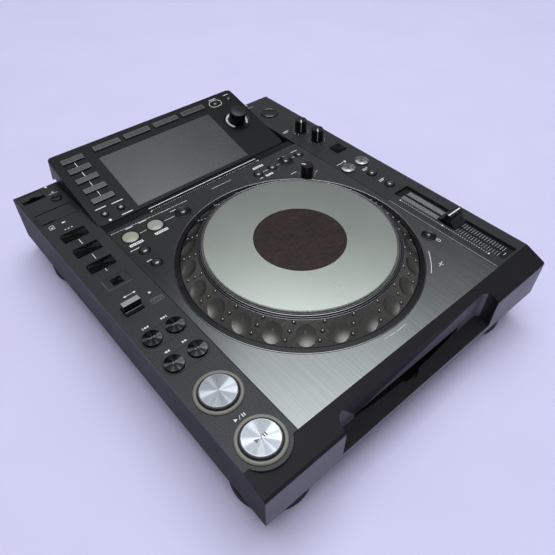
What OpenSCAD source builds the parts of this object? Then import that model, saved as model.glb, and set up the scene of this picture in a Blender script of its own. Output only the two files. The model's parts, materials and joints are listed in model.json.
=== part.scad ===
// Tabletop DJ disc player with jog wheel, tilted display hood, slot drive and two control strips.
// Millimetres. +X right, +Y back, +Z up. Origin: middle of the footprint, on the table.
// Places on the deck are given as x from the centre line and y from the front lip.

/* [Case] */
// Width over both side walls
body_w = 320; // [316:1:330]
// Depth of the upper case, front lip to rear wall
case_d = 381; // [379:1:386]
// Height of the deck above the table
deck_z = 78; // [76:1:84]
// Height of the side walls below the deck
side_h = 45.3; // [44:0.1:47]
// Thickness of the moulded walls
wall = 3; // [2.6:0.1:3.2]
// Thickness of the case's top wall
top_t = 2.3; // [2.1:0.1:2.5]
// Thickness of the plate and strips laid on the top wall
skin = 2.2; // [2:0.1:2.4]
// Width of each control strip
strip_w = 45; // [44:0.5:46]
// Depth of the sloping front edge
slope_d = 20.2; // [19.5:0.1:20.5]
// Drop of the sloping front edge
slope_h = 7.9; // [7:0.1:8.4]
// Radius of the front edge
front_r = 3; // [2:0.1:4]
// Radius of the lobe around the play button
lobe_r = 21; // [20.5:0.1:21.4]
// Clearance between pieces that do not touch
gap = 0.3; // [0.25:0.01:0.35]
// Radial clearance of a running fit
fit = 0.05; // [0.02:0.01:0.08]
// Radius of the screw posts
post_r = 5; // [4.5:0.1:5.2]
// Radius of the screw shanks
screw_r = 1.5; // [1.3:0.1:1.8]
// Length of the screw shanks
screw_len = 11; // [9:0.5:12]
// Radius of the screw heads
screw_head_r = 3.2; // [3:0.1:3.6]
// Height of the screw heads
screw_head_h = 1.8; // [1.5:0.1:2.2]

/* [Front recess and disc slot] */
// Width of the recess in the front
recess_w = 178; // [174:1:182]
// Depth of the recess
recess_d = 12.3; // [11.5:0.1:13]
// Radius of the recess's inner corners
recess_r = 8; // [6:0.5:10]
// Drop from the deck to the front lip's top
lip_drop = 38; // [37:0.1:39]
// Drop from the deck to the slot's floor
slot_drop = 31; // [30.5:0.1:31.5]
// Clear height of the disc slot
slot_h = 5; // [4.8:0.1:5.2]
// Width of the disc slot
slot_w = 124; // [123:1:126]
// Sideways place of the disc slot and drive
slot_x = -4; // [-5:0.5:-3]
// Depth of the shallow bite in the slot's lower edge
bite_d = 2.9; // [2:0.1:3.5]
// Radius of the finger notch
notch_r = 12.5; // [11:0.5:14]
// Distance from the front lip to the finger notch
notch_y = 5.8; // [5:0.1:7]
// Thickness of the recess's floor plate
shelf_t = 2.5; // [2:0.1:3]

/* [Bottom pan and feet] */
// Height of the feet
foot_h = 10; // [9:0.5:12]
// Radius of the feet
foot_r = 32.8; // [30:0.1:33.4]
// Distance of the feet's middle from the pan's sides
foot_inset = 30.7; // [30:0.1:33]
// Distance of the front feet from the front lip
foot_front_y = 38.7; // [37:0.1:41]
// Distance of the rear feet's middle from the case's rear
foot_rear = 40; // [38:1:43]
// Thickness of the steel sheet
sheet = 1.5; // [1.2:0.1:1.6]
// Inset of the pan's walls from the case's outside
pan_inset = 6; // [5.5:0.1:7]
// Distance of the pan's front wall from the front lip
pan_front = 9; // [8.5:0.1:10]
// Reach of the pan's rear hood past the case's rear
pan_reach = 17; // [16:0.5:18]
// Reach of the phono sockets past the pan's rear hood
phono_reach = 6; // [5:0.5:8]
// Drop from the deck to the rear hood's top
hood_drop = 18; // [17.5:0.1:20]

/* [Display hood] */
// Distance from the front lip to the hood's front edge
hood_y = 288; // [287:0.5:289]
// Tilt of the display
hood_tilt = 14.3; // [13.5:0.1:15]
// Length of the display along the tilt
hood_len = 100.2; // [99:0.1:101]
// Height of the hood's back, square to the display
hood_back = 28.9; // [28:0.1:29.5]
// Reach of the hood over the left strip
hood_over = 1.5; // [1:0.1:2]
// Width of the gap between the hood and the right strip
hood_trench = 8; // [7:0.5:9]
// Radius of the hood's corners
hood_r = 5; // [4:0.5:6]
// Width of the screen
screen_w = 134; // [132:1:135]
// Length of the screen along the tilt
screen_len = 73; // [71:0.5:74]
// Sideways place of the screen's middle
screen_x = -6; // [-7:0.5:-5.5]
// Distance from the hood's front edge to the screen
screen_s = 4.3; // [4:0.1:4.8]
// Thickness of the screen window
glass_t = 1.8; // [1.5:0.1:2]
// Depth of the touch strip in front of the hood
touch_d = 10.2; // [9.5:0.1:10.4]

/* [Jog wheel] */
// Distance from the front lip to the wheel's axis
jog_y = 144.6; // [144:0.1:146]
// Outer radius of the wheel
jog_r = 103.2; // [102:0.1:104]
// Width of the bezel with its clearance
bezel_w = 5.7; // [5.2:0.1:6.4]
// Clearance between wheel and bezel
bezel_gap = 0.6; // [0.4:0.05:0.8]
// Height of the wheel's top above the deck
jog_h = 17; // [16:0.1:18]
// Width of the dimpled slope
slope_w = 15.2; // [14.4:0.1:16]
// Height of the top of the dimpled slope above the deck
slope_top = 13.4; // [12.5:0.1:13.8]
// Width of the stepped ring round the silver top plate
steps_w = 5.3; // [5:0.1:6]
// Radius of the round window
window_r = 39.4; // [38:0.1:40]
// Thickness of the top plate
plate_t = 1.6; // [1.2:0.1:1.8]
// Number of dimples
dimples = 24; // [20:1:26]
// Radius of a dimple on the surface
dimple_r = 8.2; // [7.5:0.1:8.6]
// Depth of a dimple
dimple_d = 1.9; // [1.4:0.1:2]
// Direction of the first dimple in degrees
dimple_turn = 5.44; // [0:0.01:15]
// Radius of the post that the wheel turns on
jog_post_r = 11; // [10:0.5:12]
// Width of the rim of the carrier plate under the wheel
carrier_rim = 5.9; // [5:0.1:6.4]
// Clearance between the wheel and the case's top wall
wheel_gap = 0.9; // [0.7:0.05:1.1]

/* [Buttons] */
// Travel of a button
press = 1; // [0.6:0.1:1.2]
// Thickness of the retaining ears
ear_t = 1; // [0.8:0.1:1.2]
// Reach of the retaining ears past the hole
ear = 0.9; // [0.7:0.1:1]
// Radius of the stems under the caps
stem_r = 2.5; // [2:0.1:3]
// Radius of the play and cue buttons
play_r = 17.8; // [17:0.1:18]
// Radius of their metal caps
play_cap_r = 14.1; // [13.5:0.1:14.6]
// Rise of their metal caps
play_rise = 3.2; // [2.5:0.1:4]
// Rise of their rings
ring_rise = 0.9; // [0.5:0.1:1.2]
// Distance of the play button from the front lip
play_y = 30.6; // [30:0.1:31]
// Distance of the cue button from the front lip
cue_y = 76.6; // [76:0.1:77.5]
// Radius of the search buttons
search_r = 7.5; // [7:0.1:8]
// Spacing of a search pair
search_gap = 20.2; // [19.5:0.1:21]
// Distance of the search pair from the front lip
search_y = 116.3; // [116:0.1:118]
// Distance of the track pair from the front lip
track_y = 146; // [145.5:0.1:148]
// Width of a hot cue key
cue_key_w = 23; // [22:0.1:24]
// Depth of a hot cue key
cue_key_d = 10.4; // [10:0.1:11]
// Rise of a hot cue key
cue_key_rise = 1.7; // [1.2:0.1:2]
// Pitch of the hot cue keys
cue_key_pitch = 25; // [24.5:0.1:25.4]
// Distance of the nearest hot cue key from the front lip
cue_key_y = 243.4; // [243:0.1:244]
// Width of the call key
call_key_w = 8.8; // [8:0.1:9.5]
// Depth of the call key
call_key_d = 6.8; // [6:0.1:7.4]
// Distance of the call key from the front lip
call_key_y = 217.6; // [217:0.1:219]
// Radius of the loop buttons
loop_r = 7.2; // [6.8:0.1:7.6]
// Radius of the small round buttons
small_r = 4.5; // [4.2:0.1:4.8]
// Distance of the loop row from the front lip
loop_y = 257.6; // [257:0.1:258.5]
// Distance of the loop mode button from the front lip
loop_mode_y = 234.2; // [233.5:0.1:235]
// Distance of the slip button from the front lip
slip_y = 214.7; // [214:0.1:216]
// Distance of the first loop button from the plate's edge
loop_inset = 13.4; // [12.6:0.1:14]
// Spacing of the loop buttons
loop_pitch = 25.6; // [25:0.1:26]
// Sideways distance of the reloop button from the centre line
reloop_x = 45.6; // [45:0.1:46.4]
// Distance of the call row from the front lip
call_row_y = 258.3; // [257.8:0.1:259]
// Sideways place of the first button of the call row
call_row_x = 47.2; // [46.5:0.1:47.8]
// Spacing of the call row
call_row_pitch = 18.6; // [18:0.1:19]
// Radius of the sync and master buttons
sync_r = 7.6; // [7:0.1:8]
// Spacing of the sync and master buttons
sync_gap = 20.3; // [19.8:0.1:21]
// Distance of the sync and master buttons from the front lip
sync_y = 205.6; // [205:0.1:206.5]
// Radius of the two tempo buttons
tempo_r = 5.1; // [4.8:0.1:5.4]
// Distance of the tempo range button from the front lip
range_y = 183.8; // [183:0.1:184.6]
// Distance of the master tempo button from the front lip
master_tempo_y = 159.4; // [159:0.1:160.2]
// Radius of the tempo reset button
reset_r = 4.1; // [3.8:0.1:4.4]
// Distance of the tempo reset button from the plate's edge
reset_inset = 11.4; // [10.8:0.1:12]
// Distance of the tempo reset button from the front lip
reset_y = 85; // [84:0.1:86]
// Radius of the eject button
eject_r = 10.2; // [9.5:0.1:10.6]
// Distance of the eject button from the front lip
eject_y = 346.4; // [346:0.1:348]
// Width and depth of the jog mode button
mode_w = 13.4; // [12.8:0.1:14]
// Distance of the jog mode button from the front lip
mode_y = 239.4; // [239:0.1:240]
// Radius of the stop button by the port
usb_stop_r = 5.2; // [5:0.1:5.6]
// Distance of the stop button from the front lip
usb_stop_y = 355.6; // [355:0.1:356.2]

/* [Knobs, lever and fader] */
// Radius of the two speed knobs
knob_r = 6.1; // [5.6:0.1:6.4]
// Height of the two speed knobs
knob_h = 14; // [13:0.1:15]
// Radius of the knob shafts
shaft_r = 3; // [2.6:0.1:3.2]
// Distance of the brake knob from the front lip
brake_y = 292.6; // [292:0.1:293.4]
// Distance of the start knob from the front lip
start_y = 266.8; // [266:0.1:267.4]
// Radius of the jog adjust knob
adjust_r = 5.8; // [5.5:0.1:6.2]
// Height of the jog adjust knob
adjust_h = 12.4; // [11.5:0.1:13]
// Distance of the jog adjust knob from the plate's edge
adjust_inset = 30.8; // [30.4:0.1:31.2]
// Distance of the jog adjust knob from the front lip
adjust_y = 225.2; // [225:0.1:226]
// Radius of the selector knob
selector_r = 8.5; // [8:0.1:9]
// Height of the selector knob
selector_h = 13.3; // [12.5:0.1:14]
// Sideways place of the selector knob
selector_x = 82.9; // [82.5:0.1:83.5]
// Distance of the selector from the hood's front edge
selector_s = 53; // [52:0.5:54]
// Width of the direction lever
lever_w = 15; // [14.5:0.1:15.4]
// Thickness of the direction lever
lever_t = 5; // [4.5:0.1:5.4]
// Height of the direction lever above the deck
lever_h = 8.4; // [8:0.1:9]
// Radius of the lever's drum
drum_r = 5.5; // [5.2:0.1:5.7]
// Distance of the lever from the front lip
lever_y = 183; // [182.5:0.1:184]
// Sideways place of the lever from the strip's middle
lever_dx = -5.7; // [-6:0.1:-5]
// Width of the sunk fader channel
channel_w = 20.4; // [20:0.1:21]
// Near end of the fader channel
channel_y0 = 23; // [22.6:0.1:24]
// Far end of the fader channel
channel_y1 = 146.4; // [146:0.1:147]
// Depth of the fader channel below the deck
channel_t = 3; // [2.8:0.1:3.2]
// Travel of the fader
fader_travel = 100; // [98:1:101]
// Width of the fader cap
fader_w = 17.6; // [17:0.1:18.4]
// Length of the fader cap's foot
fader_l = 19.8; // [19:0.1:20.4]
// Length of the fader cap's top
fader_top = 6; // [5:0.1:7]
// Height of the fader cap above the deck
fader_h = 9.5; // [9:0.1:10]

/* [Hood keys] */
// Width of a source key
source_w = 22.4; // [21.5:0.1:23]
// Depth of a source key
source_d = 6; // [5.6:0.1:6.4]
// Pitch of the source keys
source_pitch = 14.4; // [14:0.1:14.6]
// Distance of the nearest source key from the hood's front edge
source_s = 29.1; // [28.6:0.1:29.6]
// Sideways place of the source keys
source_x = -96; // [-96.5:0.1:-95.5]
// Width of a menu key
menu_w = 29.2; // [28:0.1:30]
// Depth of a menu key
menu_d = 6.4; // [6:0.1:7]
// Pitch of the menu keys
menu_pitch = 35.2; // [34.8:0.1:35.4]
// Sideways place of the first menu key
menu_x = -57.3; // [-57.8:0.1:-56.8]
// Distance of the menu keys from the hood's front edge
menu_s = 89; // [88.6:0.1:89.4]
// Rise of the hood keys
hood_key_rise = 1.4; // [1:0.1:1.8]
// Radius of the quantize and time mode buttons
quantize_r = 4; // [3.7:0.1:4.3]
// Radius of the back button
back_r = 3.2; // [3:0.1:3.4]
// Radius of the tag button
tag_r = 2.9; // [2.7:0.1:3.1]

/* [Flaps and ports] */
// Thickness of the flaps
flap_t = 1.9; // [1.7:0.1:1.95]
// Width of the card flap
card_w = 34.4; // [34:0.1:35]
// Depth of the card flap
card_d = 17.2; // [16.8:0.1:17.6]
// Distance of the card flap's middle from the front lip
card_y = 332.8; // [332:0.1:333.2]
// Width of the finger notch in the card flap
notch_w = 11; // [10:0.5:12]
// Width of the port's opening
port_w = 21.2; // [20.6:0.1:21.6]
// Depth of the port's opening
port_d = 15; // [14.6:0.1:15.4]
// Distance of the port's middle from the front lip
port_y = 371.2; // [371:0.1:371.6]
// Sideways place of the port from the strip's middle
port_dx = -7.2; // [-7.6:0.1:-6.8]
// Depth of the finger gap in front of the port's flap
finger_gap = 5.6; // [4:0.1:6]
// Radius of the finger notch in the port's flap
finger_r = 4; // [3:0.5:5]
// Radius of the hinge pins
pin_r = 0.6; // [0.5:0.05:0.65]
// Length of the hinge pins
pin_len = 1.5; // [1.2:0.1:1.8]

/* [Drive] */
// Width of the drive frame
drive_w = 140; // [139:1:141]
// Distance from the front lip to the drive frame
drive_y0 = 18.6; // [18.4:0.1:19]
// Distance from the front lip to the drive frame's rear
drive_y1 = 162; // [160:1:163]
// Distance from the front lip to the disc's axis
disc_y = 90; // [89:0.5:90]
// Depth of the drive's floor below the slot's floor
drive_sink = 10; // [9.8:0.1:10.2]
// Thickness of the drive frame's sheet
drive_t = 2; // [1.8:0.1:2]
// Radius of the loading roller
roller_r = 3.4; // [3:0.1:3.6]
// Radius of the turntable
table_r = 13.3; // [12.5:0.1:13.4]
// Radius of the motor
motor_r = 11; // [10:0.1:11]
// Travel of the laser sled
sled_travel = 34; // [32:1:34]
// Length of the laser sled
sled_l = 19.4; // [18:0.1:19.4]
// Height of the laser sled
sled_h = 5.6; // [5.2:0.1:5.8]
// Radius of the lens turret
lens_r = 4; // [3.5:0.1:4.5]
// Height of the lens turret
lens_h = 2; // [1.6:0.1:2.2]
// Radius of the spindle's shaft
spindle_r = 1.5; // [1.3:0.1:1.8]
// Height of the turntable's seat above the drive's floor
table_h = 6; // [5.8:0.1:6.2]
// Thickness of the turntable
table_t = 1.5; // [1.2:0.1:1.6]
// Radius of the turntable's nose
nose_r = 7.4; // [7.3:0.02:7.46]
// Height of the turntable's nose
nose_h = 2.2; // [2:0.1:2.3]
// Height of the motor
motor_h = 4; // [3.5:0.1:4.5]
// Height of the sled rods above the drive's floor
rod_h = 3.5; // [3.2:0.1:3.8]
// Sideways distance of the sled rods from the disc's axis
rod_x = 16; // [15:0.5:17]
// Radius of the sled rods
rod_r = 1.5; // [1.3:0.1:1.6]

/* [Boards and sockets] */
// Thickness of the circuit boards
board_t = 1.6; // [1.4:0.1:1.8]
// Height of the boards above the pan's floor
board_lift = 12; // [11:0.5:13]
// Thickness of the chips
chip_t = 2.2; // [1.6:0.1:2.4]
// Width of the transformer
coil_w = 36; // [30:1:38]
// Height of the transformer
coil_h = 24; // [20:0.5:26]
// Depth of the key boards below the deck
key_board_drop = 12; // [11.8:0.1:12.4]
// Radius of a phono socket
phono_r = 4.15; // [4:0.05:4.3]
// Bore of a phono socket
phono_bore = 1.6; // [1.5:0.05:1.8]
// Width of the power switch
switch_w = 12; // [11.5:0.1:13]
// Height of the power switch
switch_h = 19; // [18.5:0.5:20]
// Tilt of the power switch to either side
switch_tilt = 6; // [5:0.5:6]

/* [Hidden] */
$fn = 96;
eps = 0.01;

// Levels above the table
top_z = deck_z - skin;
under_z = top_z - top_t;
wall_z = deck_z - side_h;
floor_z = foot_h + sheet;
flange_z = wall_z + 3.3;
hood_top_z = deck_z - hood_drop;
slot_z = deck_z - slot_drop;
front_z = deck_z - slope_h;
board_z = floor_z + board_lift;
key_board_z = deck_z - key_board_drop;
drive_z = slot_z - drive_sink;
carrier_z = under_z - 5.5;
board_top = board_z + board_t;
switch_z = board_top + switch_h / 2 + 2.5;

// Levels relative to the deck
under = -skin - top_t;
ear_z = under - gap - ear_t;
stem_len = ear_z + key_board_drop - press - gap;

// Depths from the front lip
pan_rear = case_d + pan_reach;
total_d = pan_rear + phono_reach;
switch_y = pan_rear - 4.5;

// Sideways lines
half_w = body_w / 2;
strip_x = half_w - strip_w / 2;
plate_half = half_w - strip_w;
inner_half = half_w - wall;
pan_half = half_w - pan_inset;
foot_x = pan_half - foot_inset;
hood_left = -plate_half - hood_over;
hood_right = plate_half - hood_trench;
channel_x = strip_x + 0.1;
loop_x = plate_half - loop_inset;
reset_x = plate_half - reset_inset;
adjust_x = plate_half - adjust_inset;
lever_x = -strip_x + lever_dx;
port_x = -strip_x + port_dx;

// Radii of the wheel's rings
bezel_r = jog_r + bezel_w;
slope_in_r = jog_r - slope_w;
plate_r = slope_in_r - steps_w;
carrier_r = jog_r + wheel_gap + carrier_rim;

// Places of the round controls: [x, y, radius]
track_back_at = [-strip_x + 0.1 - search_gap / 2, track_y, search_r];
track_next_at = [-strip_x + 0.1 + search_gap / 2, track_y, search_r];
search_back_at = [-strip_x + 0.1 - search_gap / 2, search_y, search_r];
search_next_at = [-strip_x + 0.1 + search_gap / 2, search_y, search_r];
play_at = [-strip_x, play_y, play_r];
cue_at = [-strip_x, cue_y, play_r];
usb_stop_at = [-strip_x + 10.6, usb_stop_y, usb_stop_r];
eject_at = [strip_x - 1.1, eject_y, eject_r];
master_at = [strip_x - 2.8 - sync_gap / 2, sync_y, sync_r];
sync_at = [strip_x - 2.8 + sync_gap / 2, sync_y, sync_r];
range_at = [strip_x - 0.6, range_y, tempo_r];
master_tempo_at = [strip_x - 1.1, master_tempo_y, tempo_r];
brake_at = [strip_x, brake_y, shaft_r];
start_at = [strip_x + 0.8, start_y, shaft_r];
loop_in_at = [-loop_x, loop_y, loop_r];
loop_out_at = [-loop_x + loop_pitch, loop_y, loop_r];
reloop_at = [-reloop_x, loop_y, small_r];
loop_mode_at = [-loop_x + 0.5, loop_mode_y, small_r];
slip_at = [-loop_x + 0.6, slip_y, small_r];
call_row_at = [for (i = [0:3]) [call_row_x + i * call_row_pitch, call_row_y, small_r]];
reset_at = [reset_x, reset_y, reset_r];
adjust_at = [adjust_x, adjust_y, shaft_r];
strip_rounds = [
    track_back_at, track_next_at, search_back_at, search_next_at, play_at, cue_at, usb_stop_at,
    eject_at, master_at, sync_at, range_at, master_tempo_at, brake_at, start_at
];
plate_rounds = concat(
    [loop_in_at, loop_out_at, reloop_at, loop_mode_at, slip_at, reset_at, adjust_at],
    call_row_at
);

// Places of the square controls: [x, y, width, depth]
cue_keys_at = [for (i = [0:2]) [-strip_x - 0.6, cue_key_y + i * cue_key_pitch, cue_key_w, cue_key_d]];
call_key_at = [-strip_x, call_key_y, call_key_w, call_key_d];
mode_at = [strip_x + 6.2, mode_y, mode_w, mode_w - 1];
strip_squares = concat(cue_keys_at, [call_key_at, mode_at]);

// Places on the hood, from its front edge along the tilt
quantize_at = [-104.5, 11.1, quantize_r];
time_at = [-87.9, 10.8, quantize_r];
back_at = [78.6, 87.5, back_r];
tag_at = [97.6, 87.4, tag_r];
selector_at = [selector_x, selector_s, shaft_r];
hood_rounds = [quantize_at, time_at, back_at, tag_at, selector_at];
source_at = [for (i = [0:4]) [source_x, source_s + i * source_pitch, source_w, source_d]];
menu_at = [for (i = [0:3]) [menu_x + i * menu_pitch, menu_s, menu_w, menu_d]];
hood_squares = concat(source_at, menu_at);
hood_board = wall + ear_t + press + 2 * gap;
hood_bosses_at = [
    for (x = [screen_x - screen_w / 2 - 5.5, screen_x + screen_w / 2 + 5], s = [22, 72]) [x, s]
];

// Screw posts and key board bosses
posts_at = [[80, 24], [plate_half - 11, 198], [80, case_d - 11]];
boss_r = 2.5;
boss_x = [-plate_half - 2.5, -inner_half + 1.5];
boss_y = [54, 222, 311];
inner_bosses_at = [
    [-loop_x + loop_pitch / 2 + 0.3, loop_mode_y + 5.8], [-reloop_x - 16.4, loop_y - 5.6],
    [call_row_x + call_row_pitch / 2, call_row_y], [call_row_x + 2.5 * call_row_pitch, call_row_y], [usb_stop_at[0], usb_stop_y - 10.4]
];

// Slope of the front edge and of the recess's floor
slope_m = slope_h / slope_d;
slope_a = atan(slope_m);
lobe_step = (top_z - front_z) / slope_m;
shelf_m = (lip_drop - slot_drop) / (recess_d + 0.4);

// ---- helpers ----

// Place on the deck
module at(p, z = 0) {
    translate([p[0], p[1] - total_d / 2, deck_z + z]) children();
}

// Place by depth from the front lip, with height above the table
module stand(x, y, z = 0) {
    translate([x, y - total_d / 2, z]) children();
}

// Outline drawn as (depth, height), extruded from x0 to x1
module run_x(x0, x1) {
    stand(x0, 0) rotate([90, 0, 90]) linear_extrude(x1 - x0) children();
}

// Place on the display
module on_hood(p) {
    at([0, hood_y]) rotate([hood_tilt, 0, 0]) translate([p[0], p[1], 0]) children();
}

// Sideways span from a to b on one side of the centre line
function side(s, a, b) = s > 0 ? [a, b] : [-b, -a];

// Block given by its corners, y measured from the front lip
module block(x, y, z) {
    stand(x[0], y[0], z[0]) cube([x[1] - x[0], y[1] - y[0], z[1] - z[0]]);
}

// Both ends of a width about a middle
function about(middle, width) = [middle - width / 2, middle + width / 2];

// Rounded outline given by its corners
module rounded(x, y, r) {
    translate([x[0] + r, y[0]]) square([x[1] - x[0] - 2 * r, y[1] - y[0]]);
    translate([x[0], y[0] + r]) square([x[1] - x[0], y[1] - y[0] - 2 * r]);
    for (cx = [x[0] + r, x[1] - r], cy = [y[0] + r, y[1] - r])
        translate([cx, cy]) circle(r);
}

// Cylinder whose top is domed by crown
module domed(r, h, crown) {
    dome_r = (r * r + crown * crown) / (2 * crown);
    intersection() {
        cylinder(h = h, r = r);
        translate([0, 0, h - dome_r]) sphere(dome_r);
    }
}

// Ears and stem that hold a cap under the top wall; reach is half the ears' span
module retainer(reach, breadth) {
    translate([-reach, -breadth / 2, ear_z]) cube([2 * reach, breadth, ear_t]);
    translate([0, 0, ear_z - stem_len]) cylinder(h = stem_len + eps, r = stem_r);
}

// Round push button with a domed cap
module round_button(p, rise, crown) {
    at(p) {
        translate([0, 0, ear_z]) domed(p[2], rise - ear_z, crown);
        retainer(p[2] + gap + ear, p[2]);
    }
}

// Rectangular push button
module square_button(p, rise) {
    at(p) {
        translate([-p[2] / 2, -p[3] / 2, ear_z]) cube([p[2], p[3], rise - ear_z]);
        retainer(p[2] / 2 + gap + ear, p[3] - 1);
    }
}

// Rotary knob with a shaft and a retaining disc
module knob(r, h, under_t) {
    translate([0, 0, 2 * gap]) cylinder(h = h - 2 * gap, r = r);
    translate([0, 0, -under_t - gap - ear_t]) cylinder(h = under_t + h, r = shaft_r);
    translate([0, 0, -under_t - gap - ear_t]) cylinder(h = ear_t, r = shaft_r + 2);
}

// Flap with a round hinge edge at the back and two pins; its hinge line lies at y = 0, z = 0
module flap(w, d) {
    r = flap_t / 2;
    translate([-w / 2, -d + r, -r]) cube([w, d - r, flap_t]);
    translate([-w / 2, 0, 0]) rotate([0, 90, 0]) cylinder(h = w, r = r);
    translate([-w / 2 - pin_len, 0, 0]) rotate([0, 90, 0]) cylinder(h = w + 2 * pin_len, r = pin_r);
}

// Hole for a flap, with the bores of its pins
module flap_hole(w, d, depth) {
    r = flap_t / 2;
    translate([-w / 2 - gap, -d + r - gap, -depth]) cube([w + 2 * gap, d + 2 * gap, depth + 2 * skin]);
    translate([-w / 2 - pin_len - gap, 0, 0]) rotate([0, 90, 0])
        cylinder(h = w + 2 * pin_len + 2 * gap, r = pin_r + fit);
}

// Hinge lines of the two flaps, on the deck
flap_z = -flap_t / 2;
card_hinge = [-strip_x - 0.2, card_y + card_d / 2 - flap_t / 2];
port_hinge = [port_x, port_y + port_d / 2 - flap_t / 2];

// Hollows of the card and port sockets under the flaps
card_slot_w = 24.6;
card_slot_d = 2.6;
usb_w = 13;
usb_d = 5;
usb_y = port_y - 0.7;

// ---- case ----

// Cuts through strips, plate and top wall that every control needs
module control_cuts() {
    for (p = concat(strip_rounds, plate_rounds))
        at(p, under - gap) cylinder(h = skin + top_t + 2, r = p[2] + gap);
    for (p = strip_squares)
        at(p, under - gap) translate([-p[2] / 2 - gap, -p[3] / 2 - gap, 0])
            cube([p[2] + 2 * gap, p[3] + 2 * gap, skin + top_t + 2]);
    lever_cut();
}

// Slot of the direction lever with the bores of its pins
module lever_cut() {
    slot_half = drum_r + 2 * gap;
    at([lever_x, lever_y], under - gap) translate([-lever_w / 2 - 2 * gap, -slot_half, 0])
        cube([lever_w + 4 * gap, 2 * slot_half, skin + top_t + 2]);
    at([lever_x, lever_y], under + top_t / 2) rotate([0, 90, 0])
        cylinder(h = lever_w + 2 * pin_len + 4 * gap, r = pin_r + fit, center = true);
}

// Sunk channel of the fader
module channel_cut() {
    block([channel_x - channel_w / 2, channel_x + channel_w / 2], [channel_y0, channel_y1],
        [deck_z - channel_t, deck_z + 1]);
}

// Outline of the case's side, as depth and height
module case_outline() {
    zc = front_z + slope_m * front_r - front_r / cos(slope_a);
    polygon([
        [0, wall_z], [0, zc], [front_r - front_r * sin(slope_a), zc + front_r * cos(slope_a)],
        [slope_d, deck_z], [slope_d, top_z], [case_d, top_z], [case_d, wall_z]
    ]);
    translate([front_r, zc]) circle(front_r);
}

// Hollow of the case, as depth and height
module case_hollow() {
    lift = front_z - wall / cos(slope_a);
    polygon([
        [wall, wall_z - 1], [wall, lift + slope_m * wall], [(under_z - lift) / slope_m, under_z],
        [case_d - wall, under_z], [case_d - wall, wall_z - 1]
    ]);
}

// Space above the recess's floor
module recess_void() {
    intersection() {
        stand(0, 0, wall_z) linear_extrude(deck_z)
            rounded([-recess_w / 2, recess_w / 2], [-2 * recess_r, recess_d], recess_r);
        run_x(-half_w, half_w) polygon([
            [-2 * recess_r, deck_z - lip_drop], [0, deck_z - lip_drop],
            [recess_d + 1, deck_z - lip_drop + shelf_m * (recess_d + 1)],
            [recess_d + 1, deck_z + 1], [-2 * recess_r, deck_z + 1]
        ]);
    }
}

// Moulded body of the recess inside the case
module recess_body() {
    block([-recess_w / 2 - wall, recess_w / 2 + wall], [0, recess_d + wall], [flange_z + 1, under_z + 1]);
}

// Hollow under the recess's floor
module shelf_hollow() {
    low = deck_z - lip_drop - shelf_t;
    run_x(-recess_w / 2, recess_w / 2) polygon([
        [wall, wall_z - 1], [wall, low + shelf_m * wall],
        [recess_d + wall + 1, low + shelf_m * (recess_d + 0.4)], [recess_d + wall + 1, wall_z - 1]
    ]);
}

// Disc slot, the shallow bite in its lower edge and the finger notch
module slot_cut() {
    bite_r = (pow(slot_w / 2 - 2, 2) + bite_d * bite_d) / (2 * bite_d);
    block([slot_x - slot_w / 2, slot_x + slot_w / 2], [recess_d - 1, recess_d + wall + 1],
        [slot_z, slot_z + slot_h]);
    intersection() {
        union() {
            stand(slot_x, recess_d + 0.6 - bite_d + bite_r, slot_z - 3 * shelf_t)
                cylinder(h = 3 * shelf_t + 1, r = bite_r, $fn = 360);
            stand(slot_x, notch_y + notch_r, slot_z - 3 * shelf_t)
                cylinder(h = 3 * shelf_t + 1, r = notch_r);
        }
        block([slot_x - slot_w / 2, slot_x + slot_w / 2], [0, recess_d + wall + 1],
            [slot_z - 3 * shelf_t, slot_z + 1]);
    }
}

// Openings in the top wall for the wheel, hood, flaps and fader
module top_cuts() {
    at([0, jog_y], under - gap) cylinder(h = top_t + 1, r = jog_r + wheel_gap);
    block([-plate_half + 4, hood_right - wall], [hood_y + 1.5, case_d - 21], [under_z - 1, deck_z]);
    block([hood_right + gap, plate_half - gap], [hood_y + 1, case_d - wall - 1], [under_z - 1, deck_z]);
    block([card_hinge[0] - card_slot_w / 2 - gap, card_hinge[0] + card_slot_w / 2 + gap],
        [card_y - card_slot_d / 2 - gap, card_y + card_slot_d / 2 + gap], [under_z - 1, deck_z]);
    block([port_x - usb_w / 2 - gap, port_x + usb_w / 2 + gap],
        [usb_y - usb_d / 2 - gap, usb_y + usb_d / 2 + gap], [under_z - 1, deck_z]);
    block([channel_x - 1.2, channel_x + 1.2],
        [fader_mid - fader_travel / 2 - 4, fader_mid + fader_travel / 2 + 4], [under_z - 1, deck_z]);
}

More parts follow.
